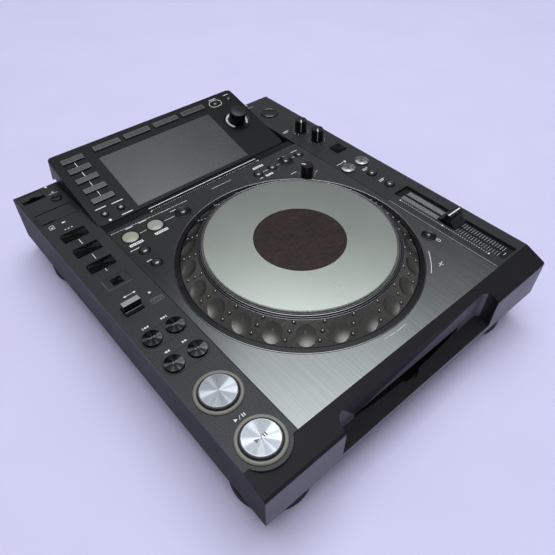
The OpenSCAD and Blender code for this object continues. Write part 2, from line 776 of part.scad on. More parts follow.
module upper_case() {
    color([0.27, 0.28, 0.29]) {
        difference() {
            run_x(-half_w, half_w) case_outline();
            difference() {
                run_x(-inner_half, inner_half) case_hollow();
                recess_body();
            }
            recess_void();
            shelf_hollow();
            slot_cut();
            control_cuts();
            channel_cut();
            top_cuts();
            // seat of the strip's lobe in the slope, and the play button's well through it
            at(play_at, -skin - gap) cylinder(h = skin + 1, r = lobe_r + gap);
            at(play_at, ear_z - press - gap) cylinder(h = slope_h, r = play_at[2] + gap);
            // rear wall ends above the pan's hood
            block([-inner_half, inner_half], [case_d - wall - 1, case_d + 1],
                [wall_z - 1, hood_top_z + gap]);
        }
        // ledges that rest on the pan's flange
        for (s = [-1, 1])
            block(side(s, inner_half - 4, inner_half + 1), [pan_front + 8, case_d - 8],
                [flange_z, flange_z + 2]);
        // screw posts down to the pan's floor
        for (s = [-1, 1], p = posts_at)
            difference() {
                stand(s * p[0], p[1], floor_z) cylinder(h = under_z - floor_z + 1, r = post_r);
                stand(s * p[0], p[1], floor_z - 1) cylinder(h = screw_len + 1, r = screw_r + fit);
            }
        // bosses of the key boards
        for (s = [-1, 1], x = boss_x, y = boss_y)
            stand(s * x, y, key_board_z) cylinder(h = under_z - key_board_z + 1, r = boss_r);
        for (p = inner_bosses_at)
            stand(p[0], p[1], key_board_z) cylinder(h = under_z - key_board_z + 1, r = boss_r);
    }
}

module side_panels() {
    color([0.2, 0.2, 0.21]) difference() {
        union() {
            for (s = [-1, 1])
                block(side(s, plate_half + 0.15, half_w), [slope_d + gap, case_d], [top_z, deck_z]);
            // lobe round the play button, standing on the slope
            intersection() {
                at(play_at, -slope_h) cylinder(h = slope_h, r = lobe_r);
                run_x(-half_w, half_w) polygon([
                    [0, front_z], [lobe_step, top_z], [slope_d + 2 * lobe_r, top_z],
                    [slope_d + 2 * lobe_r, deck_z], [0, deck_z]
                ]);
            }
        }
        at(play_at, -slope_h - 1) cylinder(h = slope_h, r = play_at[2] + gap);
        control_cuts();
        channel_cut();
        at(card_hinge, flap_z) flap_hole(card_w, card_d, 2 * skin);
        at(port_hinge, flap_z) flap_hole(port_w, port_d, 2 * skin);
    }
}

module deck_plate() {
    color([0.5, 0.52, 0.5]) difference() {
        block([-plate_half + 0.15, plate_half - 0.15], [slope_d + gap, hood_y - touch_d - 2 * gap],
            [top_z, deck_z]);
        at([0, jog_y], -skin - 1) cylinder(h = skin + 2, r = bezel_r + 0.15);
        for (p = plate_rounds)
            at(p, -skin - 1) cylinder(h = skin + 2, r = p[2] + gap);
        // room for the strip's lobe
        at(play_at, -skin - 1) cylinder(h = skin + 2, r = lobe_r + gap);
    }
}

module bottom_pan() {
    tray_top = flange_z;
    color([0.13, 0.13, 0.14]) {
        difference() {
            union() {
                difference() {
                    block([-pan_half, pan_half], [pan_front, pan_rear], [foot_h, tray_top]);
                    block([-pan_half + sheet, pan_half - sheet], [pan_front + sheet, pan_rear - sheet],
                        [floor_z, tray_top + 1]);
                }
                // flange that carries the case
                difference() {
                    block([-inner_half + gap, inner_half - gap], [wall + gap, case_d - 5],
                        [tray_top - sheet, tray_top]);
                    block([-pan_half + sheet, pan_half - sheet], [pan_front + sheet, case_d],
                        [tray_top - sheet - 1, tray_top + 1]);
                }
                // rear hood that carries the sockets
                difference() {
                    block([-pan_half, pan_half], [case_d + gap, pan_rear], [tray_top - 1, hood_top_z]);
                    block([-pan_half + sheet, pan_half - sheet], [case_d, pan_rear - sheet],
                        [tray_top - 2, hood_top_z - sheet]);
                }
                block([-pan_half, pan_half], [case_d - 5, case_d + 1], [hood_top_z - sheet, hood_top_z]);
                for (s = [-1, 1])
                    block(side(s, pan_half - sheet, pan_half), [case_d - 5, case_d + 1],
                        [tray_top - 1, hood_top_z]);
            }
            for (p = concat(sockets_at, [switch_box]))
                stand(p[0] - p[1] / 2 - gap, pan_rear - sheet - 1, board_top - gap)
                    cube([p[1] + 2 * gap, sheet + 2, p[2] + 2 * gap]);
            for (s = [-1, 1], p = posts_at)
                stand(s * p[0], p[1], foot_h - 1) cylinder(h = sheet + 2, r = screw_r + fit);
        }
        // posts of the drive frame
        for (s = [-1, 1], y = [drive_y0 + 12, drive_y1 - 12])
            stand(slot_x + s * (drive_w / 2 - 10), y, floor_z - eps)
                cylinder(h = drive_z - drive_t - floor_z + eps, r = 5);
        // standoffs of the boards
        for (b = boards_at, x = [b[0] + 6, b[1] - 6], y = [b[2] + 6, b[3] - 6])
            stand(x, y, floor_z - eps) cylinder(h = board_lift + eps, r = 3);
    }
}

module feet() {
    color([0.3, 0.3, 0.33])
        for (x = [-foot_x, foot_x], y = [foot_front_y, case_d - foot_rear])
            stand(x, y) {
                cylinder(h = 1.5 + eps, r1 = foot_r - 2, r2 = foot_r);
                translate([0, 0, 1.5]) cylinder(h = foot_h - 1.5, r = foot_r);
            }
}

module screws() {
    color([0.5, 0.5, 0.5])
        for (s = [-1, 1], p = posts_at)
            stand(s * p[0], p[1], foot_h - screw_head_h) {
                difference() {
                    cylinder(h = screw_head_h, r = screw_head_r);
                    translate([0, 0, -1]) cylinder(h = screw_head_h / 2 + 1, r = screw_r - 0.1, $fn = 6);
                }
                translate([0, 0, screw_head_h - eps]) cylinder(h = screw_len, r = screw_r);
            }
}

// ---- display hood ----

// Side of the hood, as depth and height
module hood_outline() {
    back_y = hood_y + hood_len * cos(hood_tilt);
    back_z = deck_z + hood_len * sin(hood_tilt);
    low_y = back_y + hood_back * sin(hood_tilt);
    low_z = back_z - hood_back * cos(hood_tilt);
    polygon([
        [hood_y, top_z], [hood_y, deck_z], [back_y, back_z], [low_y, low_z],
        [case_d - 6, low_z + 10], [case_d - 6, top_z]
    ]);
}

// Hollow of the hood, as depth and height
module hood_hollow() {
    t = wall;
    dy = sin(hood_tilt);
    dz = cos(hood_tilt);
    back_y = hood_y + (hood_len - t) * dz;
    back_z = deck_z + (hood_len - t) * dy;
    front = hood_y + (t / dz - skin) / tan(hood_tilt);
    polygon([
        [front, top_z - 1], [front, top_z], [back_y + t * dy, back_z - t * dz],
        [back_y + (hood_back - 7) * dy, back_z - (hood_back - 7) * dz],
        [case_d - 6 - t, deck_z + 11], [case_d - 6 - t, top_z - 1]
    ]);
}

module display_housing() {
    color([0.17, 0.17, 0.17]) {
        difference() {
            intersection() {
                run_x(hood_left, hood_right) hood_outline();
                stand(0, 0, top_z - 1) linear_extrude(deck_z)
                    rounded([hood_left, hood_right], [hood_y, case_d + 15], hood_r);
                // round back corners, square to the display
                on_hood([0, 0]) translate([0, 0, -2 * hood_back]) linear_extrude(2 * hood_back + 1)
                    rounded([hood_left, hood_right], [-2 * hood_r, hood_len], hood_r);
            }
            run_x(-plate_half + 0.4 + wall, hood_right - wall) hood_hollow();
            // the strip passes under the left edge
            block([hood_left - 1, -plate_half + 0.3], [hood_y - 1, case_d + gap],
                [top_z - 1, deck_z + gap]);
            for (p = hood_rounds)
                on_hood(p) cylinder(h = 4 * wall, r = p[2] + gap, center = true);
            for (p = hood_squares)
                on_hood(p) cube([p[2] + 2 * gap, p[3] + 2 * gap, 4 * wall], center = true);
            on_hood([screen_x - screen_w / 2 - 0.1, screen_s - 0.1, 0])
                translate([0, 0, -glass_t - 0.2]) cube([screen_w + 0.2, screen_len + 0.2, 4]);
            on_hood([screen_x - screen_w / 2 + 2, screen_s + 2, 0])
                translate([0, 0, -2 * wall]) cube([screen_w - 4, screen_len - 4, 4 * wall]);
        }
        // bosses of the hood's key board
        for (p = hood_bosses_at)
            on_hood(p) translate([0, 0, -hood_board]) cylinder(h = hood_board - wall + eps, r = 2);
        // touch strip in front of the hood
        block([-plate_half + 0.5, hood_right - 4], [hood_y - touch_d - gap, hood_y - gap],
            [top_z, deck_z - 0.6]);
    }
}

module display_glass() {
    color([0.45, 0.46, 0.47])
        on_hood([screen_x - screen_w / 2, screen_s, 0]) translate([0, 0, -glass_t - 0.2])
            cube([screen_w, screen_len, glass_t]);
}

// Round button on the hood
module hood_button(p, rise, crown) {
    under_t = wall + gap + ear_t;
    on_hood(p) {
        translate([0, 0, -under_t]) domed(p[2], rise + under_t, crown);
        translate([-p[2] - gap - ear, -p[2] / 2, -under_t]) cube([2 * (p[2] + gap + ear), p[2], ear_t]);
    }
}

// Rectangular keys on the hood
module hood_keys(list) {
    under_t = wall + gap + ear_t;
    for (p = list)
        on_hood(p) {
            translate([-p[2] / 2, -p[3] / 2, -under_t]) cube([p[2], p[3], under_t + hood_key_rise]);
            translate([-p[2] / 2 - gap - ear, -p[3] / 2 + 0.5, -under_t])
                cube([p[2] + 2 * (gap + ear), p[3] - 1, ear_t]);
        }
}

module quantize_button() {
    color([0.05, 0.05, 0.05]) hood_button(quantize_at, 1.6, 1.4);
}

module time_mode_button() {
    color([0.05, 0.05, 0.05]) hood_button(time_at, 1.6, 1.4);
}

module back_button() {
    color([0.1, 0.1, 0.1]) hood_button(back_at, 1.3, 0.9);
}

module tag_button() {
    color([0.1, 0.1, 0.1]) hood_button(tag_at, 1.3, 0.9);
}

module source_keys() {
    color([0.4, 0.41, 0.43]) hood_keys(source_at);
}

module menu_keys() {
    color([0.4, 0.41, 0.43]) hood_keys(menu_at);
}

module selector_knob() {
    color([0.06, 0.06, 0.06]) on_hood(selector_at) knob(selector_r, selector_h, wall);
}

// ---- jog wheel ----

module jog_bezel() {
    color([0.08, 0.08, 0.09]) at([0, jog_y], -skin) difference() {
        cylinder(h = skin + gap, r = bezel_r);
        translate([0, 0, -1]) cylinder(h = skin + 2, r = jog_r + bezel_gap);
    }
}

module jog_mount() {
    web_t = 2;
    color([0.2, 0.2, 0.22]) stand(0, jog_y, carrier_z) rotate_extrude() polygon([
        [4, 0], [carrier_r, 0], [carrier_r, under_z - carrier_z],
        [carrier_r - carrier_rim + 1.9, under_z - carrier_z], [carrier_r - carrier_rim + 1.9, web_t],
        [jog_post_r + 4, web_t], [jog_post_r + 4, hub_z - gap - carrier_z],
        [jog_post_r, hub_z - gap - carrier_z], [jog_post_r, window_z - carrier_z], [4, window_z - carrier_z]
    ]);
}

// Levels of the wheel above the table
wheel_top = deck_z + jog_h;
seat_z = wheel_top - plate_t;
window_z = wheel_top - 4;
hub_z = carrier_z + 6.5;

module jog_display() {
    color([0.12, 0.1, 0.09]) stand(0, jog_y, window_z) difference() {
        cylinder(h = wheel_top - window_z, r = window_r);
        translate([0, 0, -1]) cylinder(h = 2, r = 3);
    }
}

// Section of the wheel, as radius and height
module wheel_section() {
    step = (slope_in_r - plate_r - 1.2) / 3;
    rise = (seat_z - deck_z - slope_top) / 3;
    edge_z = deck_z + slope_top;
    shell = 3;
    web_z = window_z - gap;
    polygon([
        [jog_post_r + fit, hub_z], [jog_post_r + 5, hub_z], [jog_post_r + 5, web_z - shell],
        [window_r + 3.8, web_z - shell], [window_r + 3.8, seat_z - shell],
        [slope_in_r - 3.3, seat_z - shell],
        [jog_r - shell, deck_z - 1.4], [jog_r - shell, carrier_z + 3.5], [jog_r, carrier_z + 3.5],
        [jog_r, deck_z], [slope_in_r, edge_z], [slope_in_r - step, edge_z],
        [slope_in_r - step, edge_z + rise], [slope_in_r - 2 * step, edge_z + rise],
        [slope_in_r - 2 * step, edge_z + 2 * rise], [slope_in_r - 3 * step, edge_z + 2 * rise],
        [slope_in_r - 3 * step, seat_z], [window_r + 0.9, seat_z], [window_r + 0.9, web_z],
        [jog_post_r + fit, web_z]
    ]);
}

module jog_wheel() {
    mid_r = (jog_r + slope_in_r) / 2 - 0.8;
    mid_z = deck_z + slope_top * (jog_r - mid_r) / (jog_r - slope_in_r);
    tilt = atan(slope_top / (jog_r - slope_in_r));
    ball_r = (dimple_r * dimple_r + dimple_d * dimple_d) / (2 * dimple_d);
    color([0.3, 0.3, 0.3]) difference() {
        stand(0, jog_y) rotate_extrude() wheel_section();
        for (i = [0:dimples - 1])
            stand(0, jog_y) rotate([0, 0, dimple_turn + i * 360 / dimples])
                translate([mid_r, 0, mid_z]) rotate([0, 90 - tilt, 0])
                    translate([0, 0, ball_r - dimple_d]) sphere(ball_r);
    }
}

module jog_plate() {
    color([0.62, 0.66, 0.63]) stand(0, jog_y, seat_z) difference() {
        cylinder(h = plate_t, r = plate_r);
        translate([0, 0, -1]) cylinder(h = plate_t + 2, r = window_r + 0.5);
    }
}

// ---- strip and plate controls ----

// Play and cue share one shape: light ring with a metal cap
module transport_button(p) {
    at(p) {
        translate([0, 0, ear_z]) cylinder(h = ring_rise - ear_z, r = p[2]);
        difference() {
            cylinder(h = play_rise, r = play_cap_r);
            translate([0, 0, play_rise - 1.2]) difference() {
                cylinder(h = 2, r = play_cap_r + 1);
                translate([0, 0, -eps]) cylinder(h = 2.4, r1 = play_cap_r + eps, r2 = play_cap_r - 1.6);
            }
        }
        retainer(p[2] + gap + ear, 8);
    }
}

module play_button() {
    color([0.75, 0.76, 0.77]) transport_button(play_at);
}

module cue_button() {
    color([0.75, 0.76, 0.77]) transport_button(cue_at);
}

module track_back_button() {
    color([0.1, 0.1, 0.1]) round_button(track_back_at, 2.2, 0.3);
}

module track_next_button() {
    color([0.1, 0.1, 0.1]) round_button(track_next_at, 2.2, 0.3);
}

module search_back_button() {
    color([0.1, 0.1, 0.1]) round_button(search_back_at, 2.2, 0.3);
}

module search_next_button() {
    color([0.1, 0.1, 0.1]) round_button(search_next_at, 2.2, 0.3);
}

module direction_lever() {
    color([0.6, 0.6, 0.6]) at([lever_x, lever_y], under + top_t / 2) {
        rotate([0, 90, 0]) cylinder(h = lever_w, r = drum_r, center = true);
        rotate([0, 90, 0]) cylinder(h = lever_w + 2 * pin_len, r = pin_r, center = true);
        translate([-lever_w / 2, -lever_t / 2, 0]) cube([lever_w, lever_t, lever_h - under - top_t / 2]);
    }
}

module hot_cue_a() {
    color([0.07, 0.07, 0.07]) square_button(cue_keys_at[2], cue_key_rise);
}

module hot_cue_b() {
    color([0.07, 0.07, 0.07]) square_button(cue_keys_at[1], cue_key_rise);
}

module hot_cue_c() {
    color([0.07, 0.07, 0.07]) square_button(cue_keys_at[0], cue_key_rise);
}

module call_button() {
    color([0.12, 0.12, 0.12]) square_button(call_key_at, 1);
}

module loop_in_button() {
    color([0.72, 0.73, 0.66]) round_button(loop_in_at, 2, 1.2);
}

module loop_out_button() {
    color([0.72, 0.73, 0.66]) round_button(loop_out_at, 2, 1.2);
}

module reloop_button() {
    color([0.08, 0.08, 0.08]) round_button(reloop_at, 1.4, 1.2);
}

module loop_mode_button() {
    color([0.08, 0.08, 0.08]) round_button(loop_mode_at, 1.4, 1.2);
}

module slip_button() {
    color([0.08, 0.08, 0.08]) round_button(slip_at, 1.4, 1.2);
}

module call_prev_button() {
    color([0.08, 0.08, 0.08]) round_button(call_row_at[0], 1.4, 1.2);
}

module call_next_button() {
    color([0.08, 0.08, 0.08]) round_button(call_row_at[1], 1.4, 1.2);
}

module delete_button() {
    color([0.08, 0.08, 0.08]) round_button(call_row_at[2], 1.4, 1.2);
}

module memory_button() {
    color([0.08, 0.08, 0.08]) round_button(call_row_at[3], 1.4, 1.2);
}

module sync_button() {
    color([0.8, 0.8, 0.8]) round_button(sync_at, 2.6, 1.2);
}

module master_button() {
    color([0.8, 0.8, 0.8]) round_button(master_at, 2.6, 1.2);
}

module tempo_range_button() {
    color([0.15, 0.15, 0.15]) round_button(range_at, 1.8, 0.8);
}

module master_tempo_button() {
    color([0.15, 0.15, 0.15]) round_button(master_tempo_at, 1.8, 0.8);
}

module tempo_reset_button() {
    color([0.08, 0.08, 0.08]) round_button(reset_at, 1.4, 1.2);
}

module jog_mode_button() {
    color([0.1, 0.1, 0.1]) square_button(mode_at, 1.2);
}

// Round button with a hollow face
module dished_button(p, rise, dish) {
    face_r = p[2] - 1;
    dish_r = (face_r * face_r + dish * dish) / (2 * dish);
    difference() {
        round_button(p, rise, 0.2);
        at(p, rise - dish + dish_r) sphere(dish_r);
    }
}

module usb_stop_button() {
    color([0.12, 0.12, 0.12]) dished_button(usb_stop_at, 1, 0.6);
}

module eject_button() {
    color([0.2, 0.2, 0.2]) dished_button(eject_at, 1.2, 1);
}

module brake_knob() {
    color([0.07, 0.07, 0.07]) at(brake_at) knob(knob_r, knob_h, skin + top_t);
}

module start_knob() {
    color([0.07, 0.07, 0.07]) at(start_at) knob(knob_r, knob_h, skin + top_t);
}

module jog_adjust_knob() {
    color([0.07, 0.07, 0.07]) at(adjust_at) knob(adjust_r, adjust_h, skin + top_t);
}

fader_mid = (channel_y0 + channel_y1) / 2;

module tempo_fader() {
    low = -channel_t + gap;
    scoop_r = fader_h - 1;
    color([0.1, 0.1, 0.1]) {
        run_x(channel_x - fader_w / 2, channel_x + fader_w / 2) translate([fader_mid, deck_z]) difference() {
            translate([-fader_l / 2, low]) square([fader_l, fader_h - low]);
            // scooped front and back
            for (s = [-1, 1])
                translate([s * (fader_top / 2 + scoop_r), scoop_r]) {
                    circle(scoop_r);
                    translate([-scoop_r, 0]) square(2 * scoop_r);
                }
        }
        at([channel_x, fader_mid]) {
            translate([-0.8, -3, ear_z]) cube([1.6, 6, low - ear_z + eps]);
            translate([-4, -5, ear_z]) cube([8, 10, ear_t]);
        }
    }
}

module sd_door() {
    color([0.22, 0.22, 0.23]) at(card_hinge, flap_z) difference() {
        flap(card_w, card_d);
        // finger notch in the front edge
        translate([-card_w / 2 + 0.6, -card_d + flap_t / 2 - 1, -flap_t])
            cube([notch_w, 2.6, 2 * flap_t]);
    }
}

module usb_cover() {
    color([0.2, 0.2, 0.21]) at(port_hinge, flap_z) difference() {
        flap(port_w, port_d - finger_gap);
        translate([0, finger_gap + flap_t / 2 - port_d - finger_r / 3, -flap_t])
            cylinder(h = 2 * flap_t, r = finger_r);
    }
}

// ---- drive ----

module drive_chassis() {
    x0 = slot_x - drive_w / 2;
    x1 = slot_x + drive_w / 2;
    side_t = 2.5;
    guide_z = slot_z + slot_h + gap;
    top = guide_z + 2;
    rod_z = drive_z + rod_h;
    bracket_y = disc_y + motor_r + 0.5;
    color([0.6, 0.61, 0.62]) difference() {
        union() {
            block([x0, x1], [drive_y0, drive_y1], [drive_z - drive_t, drive_z]);
            block([x0, x0 + side_t], [drive_y0, drive_y1], [drive_z - eps, top]);
            block([x1 - side_t, x1], [drive_y0, drive_y1], [drive_z - eps, top]);
            block([x0, x1], [drive_y1 - 2, drive_y1], [drive_z - eps, top]);
            // upper disc guides
            block([x0, x1], [drive_y0, drive_y0 + 40], [guide_z, top]);
            block([x0, x1], [drive_y1 - 20, drive_y1], [guide_z, top]);
            // loading roller with its shaft
            stand(slot_x, drive_y0 + 6, slot_z - roller_r) rotate([0, 90, 0])
                cylinder(h = drive_w - 20, r = roller_r, center = true);
            stand(slot_x, drive_y0 + 6, slot_z - roller_r) rotate([0, 90, 0])
                cylinder(h = drive_w - 1, r = 1.5, center = true);
            // motor
            stand(slot_x, disc_y, drive_z - eps) cylinder(h = motor_h, r = motor_r);
            // front bracket and rods of the sled
            block([slot_x - rod_x - 4, slot_x + rod_x + 4], [bracket_y, bracket_y + 2],
                [drive_z - eps, drive_z + 5.5]);
            for (s = [-1, 1])
                stand(slot_x + s * rod_x, bracket_y + 1, rod_z) rotate([-90, 0, 0])
                    cylinder(h = drive_y1 - bracket_y - 2, r = rod_r);
        }
        stand(slot_x, disc_y, drive_z - 1) cylinder(h = 10, r = spindle_r + fit);
    }
}

module disc_spindle() {
    table_z = drive_z + table_h;
    color([0.15, 0.15, 0.16]) stand(slot_x, disc_y) {
        translate([0, 0, drive_z - 0.5]) cylinder(h = table_h + 1, r = spindle_r);
        translate([0, 0, table_z]) cylinder(h = table_t, r = table_r);
        translate([0, 0, table_z + table_t - eps]) cylinder(h = nose_h, r1 = nose_r, r2 = nose_r - 1.4);
    }
}

module laser_sled() {
    y0 = disc_y + motor_r + 3.2;
    rod_z = drive_z + rod_h;
    color([0.25, 0.25, 0.27]) difference() {
        union() {
            block([slot_x - rod_x - 4, slot_x + rod_x + 4], [y0, y0 + sled_l],
                [drive_z + 0.8, drive_z + 0.8 + sled_h]);
            stand(slot_x, y0 + sled_l / 2, drive_z + 0.8 + sled_h - eps) cylinder(h = lens_h, r = lens_r);
        }
        for (s = [-1, 1])
            stand(slot_x + s * rod_x, y0 - 1, rod_z) rotate([-90, 0, 0])
                cylinder(h = sled_l + 2, r = rod_r + fit);
    }
}

// ---- boards and sockets ----

// Boards on the pan: [left, right, near, far]
main_board = [-pan_half + 42, 62, 178, pan_rear - sheet - gap];
supply_board = [72, pan_half - 8, 240, pan_rear - sheet - gap];
coil_x = supply_board[1] - 42;
boards_at = [main_board, supply_board];

// Rear sockets, standing on the boards: [x, width, height]
phono_w = 12;
phono_h = 14;
phonos_x = [for (d = [55, 69, 92]) d - pan_half];
control_box = [112 - pan_half, 9, 9];
lan_box = [2, 16, 13.6];
usb_b_box = [32, 12, 11];
inlet_box = [pan_half - 62, 30, 22];
switch_box = [pan_half - 28, switch_w + 2 * gap + 4, switch_h + 5];
sockets_at = concat(
    [for (x = phonos_x) [x, phono_w, phono_h]],
    [control_box, lan_box, usb_b_box, inlet_box]
);

// Key boards under the strips and the plate: [left, right, near, far]
key_boards = [
    [-inner_half + gap, -plate_half - 0.5, 27, 318],
    [plate_half + 0.5, inner_half - gap, 27, case_d - 10],
    [reset_x - 8, plate_half + 1, reset_y - 6, reset_y + 6],
    [-plate_half + 4, -reloop_x + 7, slip_y - 7, loop_y + 9],
    [call_row_x - 7, plate_half - 4, adjust_y - 8, call_row_y + 8],
    [usb_stop_at[0] - 7, usb_stop_at[0] + 7, usb_stop_y - 14, usb_stop_y + 7]
];

module circuit_boards() {
    pot_h = key_board_drop + ear_z - gap;
    color([0.1, 0.35, 0.2]) {
        difference() {
            for (b = boards_at)
                block([b[0], b[1]], [b[2], b[3]], [board_z, board_top]);
            for (s = [-1, 1], p = posts_at)
                stand(s * p[0], p[1], board_z - 1) cylinder(h = board_t + 2, r = post_r + 0.5);
        }
        // chips: places from the main board's near left corner, and widths
        for (c = [[52, 42, 28], [92, 102, 24], [137, 52, 18]])
            block(about(main_board[0] + c[0], c[2]), about(main_board[2] + c[1], c[2]),
                [board_top - eps, board_top + chip_t]);
        // transformer and capacitors, in a row along the supply board
        block(about(coil_x, coil_w), about(supply_board[2] + 37, 30), [board_top - eps, board_top + coil_h]);
        for (y = [75, 98])
            stand(coil_x - 6, supply_board[2] + y, board_top - eps) cylinder(h = coil_h - 2, r = 8);
        for (b = key_boards)
            block([b[0], b[1]], [b[2], b[3]], [key_board_z - board_t, key_board_z]);
        // bodies of the knobs' and the fader's resistors
        for (p = [brake_at, start_at, adjust_at])
            stand(p[0], p[1], key_board_z - eps) cylinder(h = pot_h + eps, r = shaft_r + 2);
        block([channel_x - 5, channel_x + 5],
            [fader_mid - fader_travel / 2 - 8, fader_mid + fader_travel / 2 + 8],
            [key_board_z - eps, key_board_z + pot_h]);
        // screen, encoder and key board inside the hood
        on_hood([0, 0]) {
            translate([-plate_half + 8, 6, -hood_board - board_t])
                cube([hood_right + plate_half - 14, hood_len - 14, board_t]);
            translate([screen_x - screen_w / 2 + 2 + gap, screen_s + 2 + gap, -hood_board - eps])
                cube([screen_w - 4 - 2 * gap, screen_len - 4 - 2 * gap, hood_board - glass_t - 0.2 - gap]);
            translate([selector_x, selector_s, -hood_board - eps])
                cylinder(h = press, r = shaft_r + 2);
        }
    }
}

// Round rear socket with a ring and a bore
module phono(x) {
    mid_z = board_top + phono_h / 2;
    difference() {
        union() {
            stand(x - phono_w / 2, pan_rear - 16, board_top) cube([phono_w, 16.8, phono_h]);
            stand(x, pan_rear, mid_z) rotate([-90, 0, 0]) cylinder(h = total_d - pan_rear, r = phono_r);
        }
        stand(x, total_d - 12, mid_z) rotate([-90, 0, 0]) cylinder(h = 13, r = phono_bore);
    }
}

// Square rear socket with a hollow
module square_socket(p, hollow_w, hollow_h, depth) {
    mid_z = board_top + p[2] / 2;
    difference() {
        stand(p[0] - p[1] / 2, pan_rear - depth - 3, board_top) cube([p[1], depth + 3.8, p[2]]);
        stand(p[0] - hollow_w / 2, pan_rear - depth, mid_z - hollow_h / 2)
            cube([hollow_w, depth + 2, hollow_h]);
    }
}

module sockets() {
    color([0.15, 0.15, 0.16]) {
        for (x = phonos_x)
            phono(x);
        // control jack
        difference() {
            stand(control_box[0] - 4.5, pan_rear - 12, board_top) cube([9, 12.8, 9]);
            stand(control_box[0], pan_rear - 11, board_top + 4.5) rotate([-90, 0, 0])
                cylinder(h = 13, r = 1.8);
        }
        square_socket(lan_box, 12, 8.4, 12);
        square_socket(usb_b_box, 8.6, 8, 9);
        square_socket(inlet_box, 24.6, 17, 16);
        for (p = [[-7, -1.5], [0, 3], [7, -1.5]])
            stand(inlet_box[0] + p[0] - 1, pan_rear - 16 - eps, board_top + inlet_box[2] / 2 + p[1] - 2)
                cube([2, 10, 4]);
        // housing of the power switch with the bores of its pins
        difference() {
            stand(switch_box[0] - switch_box[1] / 2, pan_rear - 14, board_top)
                cube([switch_box[1], 14.8, switch_box[2]]);
            stand(switch_box[0] - switch_w / 2 - gap, pan_rear - 12, switch_z - switch_h / 2 - gap)
                cube([switch_w + 2 * gap, 14, switch_h + 2 * gap]);
            stand(switch_box[0], switch_y, switch_z) rotate([0, 90, 0])
                cylinder(h = switch_w + 3, r = 1.5 + fit, center = true);
        }
        // port under its flap
        difference() {
            block([port_x - 8.8, port_x + 8.8], [usb_y - 4.6, usb_y + 4.6], [under_z - 20, under_z]);
            block([port_x - usb_w / 2, port_x + usb_w / 2], [usb_y - usb_d / 2, usb_y + usb_d / 2],
                [under_z - 14, under_z + 1]);
        }
        // card socket under its flap
        difference() {
            block([card_hinge[0] - 14.5, card_hinge[0] + 14.5], [card_y - 5, card_y + 5],
                [under_z - 32, under_z]);
            block([card_hinge[0] - card_slot_w / 2, card_hinge[0] + card_slot_w / 2],
                [card_y - card_slot_d / 2, card_y + card_slot_d / 2], [under_z - 26, under_z + 1]);
        }
    }
}

module power_switch() {
    h = switch_h / 2 - 0.6;
    color([0.05, 0.05, 0.05]) stand(switch_box[0], switch_y, switch_z) {
        rotate([-switch_tilt, 0, 0]) translate([-switch_w / 2, 0, 0]) rotate([90, 0, 90])
            linear_extrude(switch_w) polygon([
                [-4, -5], [1, -h + 0.4], [5.8, -h], [4.6, 0], [5.8, h], [1, h - 0.4], [-4, 5]
            ]);
        rotate([0, 90, 0]) cylinder(h = switch_w + 2.4, r = 1.5, center = true);
    }
}

bottom_pan();
feet();
upper_case();
side_panels();
deck_plate();
display_housing();
display_glass();
jog_bezel();
jog_mount();
jog_display();
jog_wheel();
jog_plate();
play_button();
cue_button();
track_back_button();
track_next_button();
search_back_button();
search_next_button();
direction_lever();
hot_cue_a();
hot_cue_b();
hot_cue_c();
call_button();
loop_in_button();
loop_out_button();
reloop_button();
loop_mode_button();
slip_button();
quantize_button();
time_mode_button();
source_keys();
menu_keys();
back_button();
tag_button();
selector_knob();
call_prev_button();
call_next_button();
delete_button();
memory_button();
brake_knob();
start_knob();
jog_adjust_knob();
eject_button();
usb_stop_button();
jog_mode_button();
sync_button();
master_button();
tempo_range_button();
master_tempo_button();
tempo_reset_button();
tempo_fader();
sd_door();
usb_cover();
power_switch();
drive_chassis();
disc_spindle();
laser_sled();
circuit_boards();
sockets();
screws();
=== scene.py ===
import json
import math

import bpy
from mathutils import Matrix, Vector


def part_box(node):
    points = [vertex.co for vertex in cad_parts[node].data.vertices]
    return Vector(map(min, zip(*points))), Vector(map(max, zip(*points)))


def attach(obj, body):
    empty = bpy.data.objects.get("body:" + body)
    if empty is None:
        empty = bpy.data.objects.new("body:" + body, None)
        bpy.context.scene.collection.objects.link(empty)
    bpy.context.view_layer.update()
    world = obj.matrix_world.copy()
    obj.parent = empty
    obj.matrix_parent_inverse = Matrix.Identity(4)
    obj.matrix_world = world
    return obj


# Looks of the tabletop disc player. Places are in millimetres: x from the centre line, y from the
# front lip, z above the deck, as in the part's source; a frame turns them into the row's metres.

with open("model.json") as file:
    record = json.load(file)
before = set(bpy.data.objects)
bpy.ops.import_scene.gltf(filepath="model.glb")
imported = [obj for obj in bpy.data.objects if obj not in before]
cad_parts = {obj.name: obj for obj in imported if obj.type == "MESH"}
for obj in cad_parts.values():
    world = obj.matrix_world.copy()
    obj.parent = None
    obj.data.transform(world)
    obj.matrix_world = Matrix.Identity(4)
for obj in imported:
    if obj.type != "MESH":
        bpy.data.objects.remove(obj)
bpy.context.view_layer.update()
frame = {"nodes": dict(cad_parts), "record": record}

MM = 0.001
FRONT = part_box("upper_case")[0][1]
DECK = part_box("deck_plate")[1][2]
DECK_UP = round(DECK / MM)
HOOD_TILT = math.radians(14.3)
HOOD_Y = 288

# Places where a body's pieces are built: the deck, the hood's slope, and the rear panel, where x
# runs to the right as seen from behind and y is the height above the table
DECK_FRAME = Matrix.Translation((0, FRONT, DECK)) @ Matrix.Diagonal((MM, MM, MM, 1))
HOOD_FRAME = DECK_FRAME @ Matrix.Translation((0, HOOD_Y, 0)) @ Matrix.Rotation(HOOD_TILT, 4, "X")
REAR_FRAME = (Matrix.Translation((0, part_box("bottom_pan")[1][1], 0)) @ Matrix.Diagonal((MM, MM, MM, 1))
              @ Matrix.Rotation(math.pi, 4, "Z") @ Matrix.Rotation(math.pi / 2, 4, "X"))

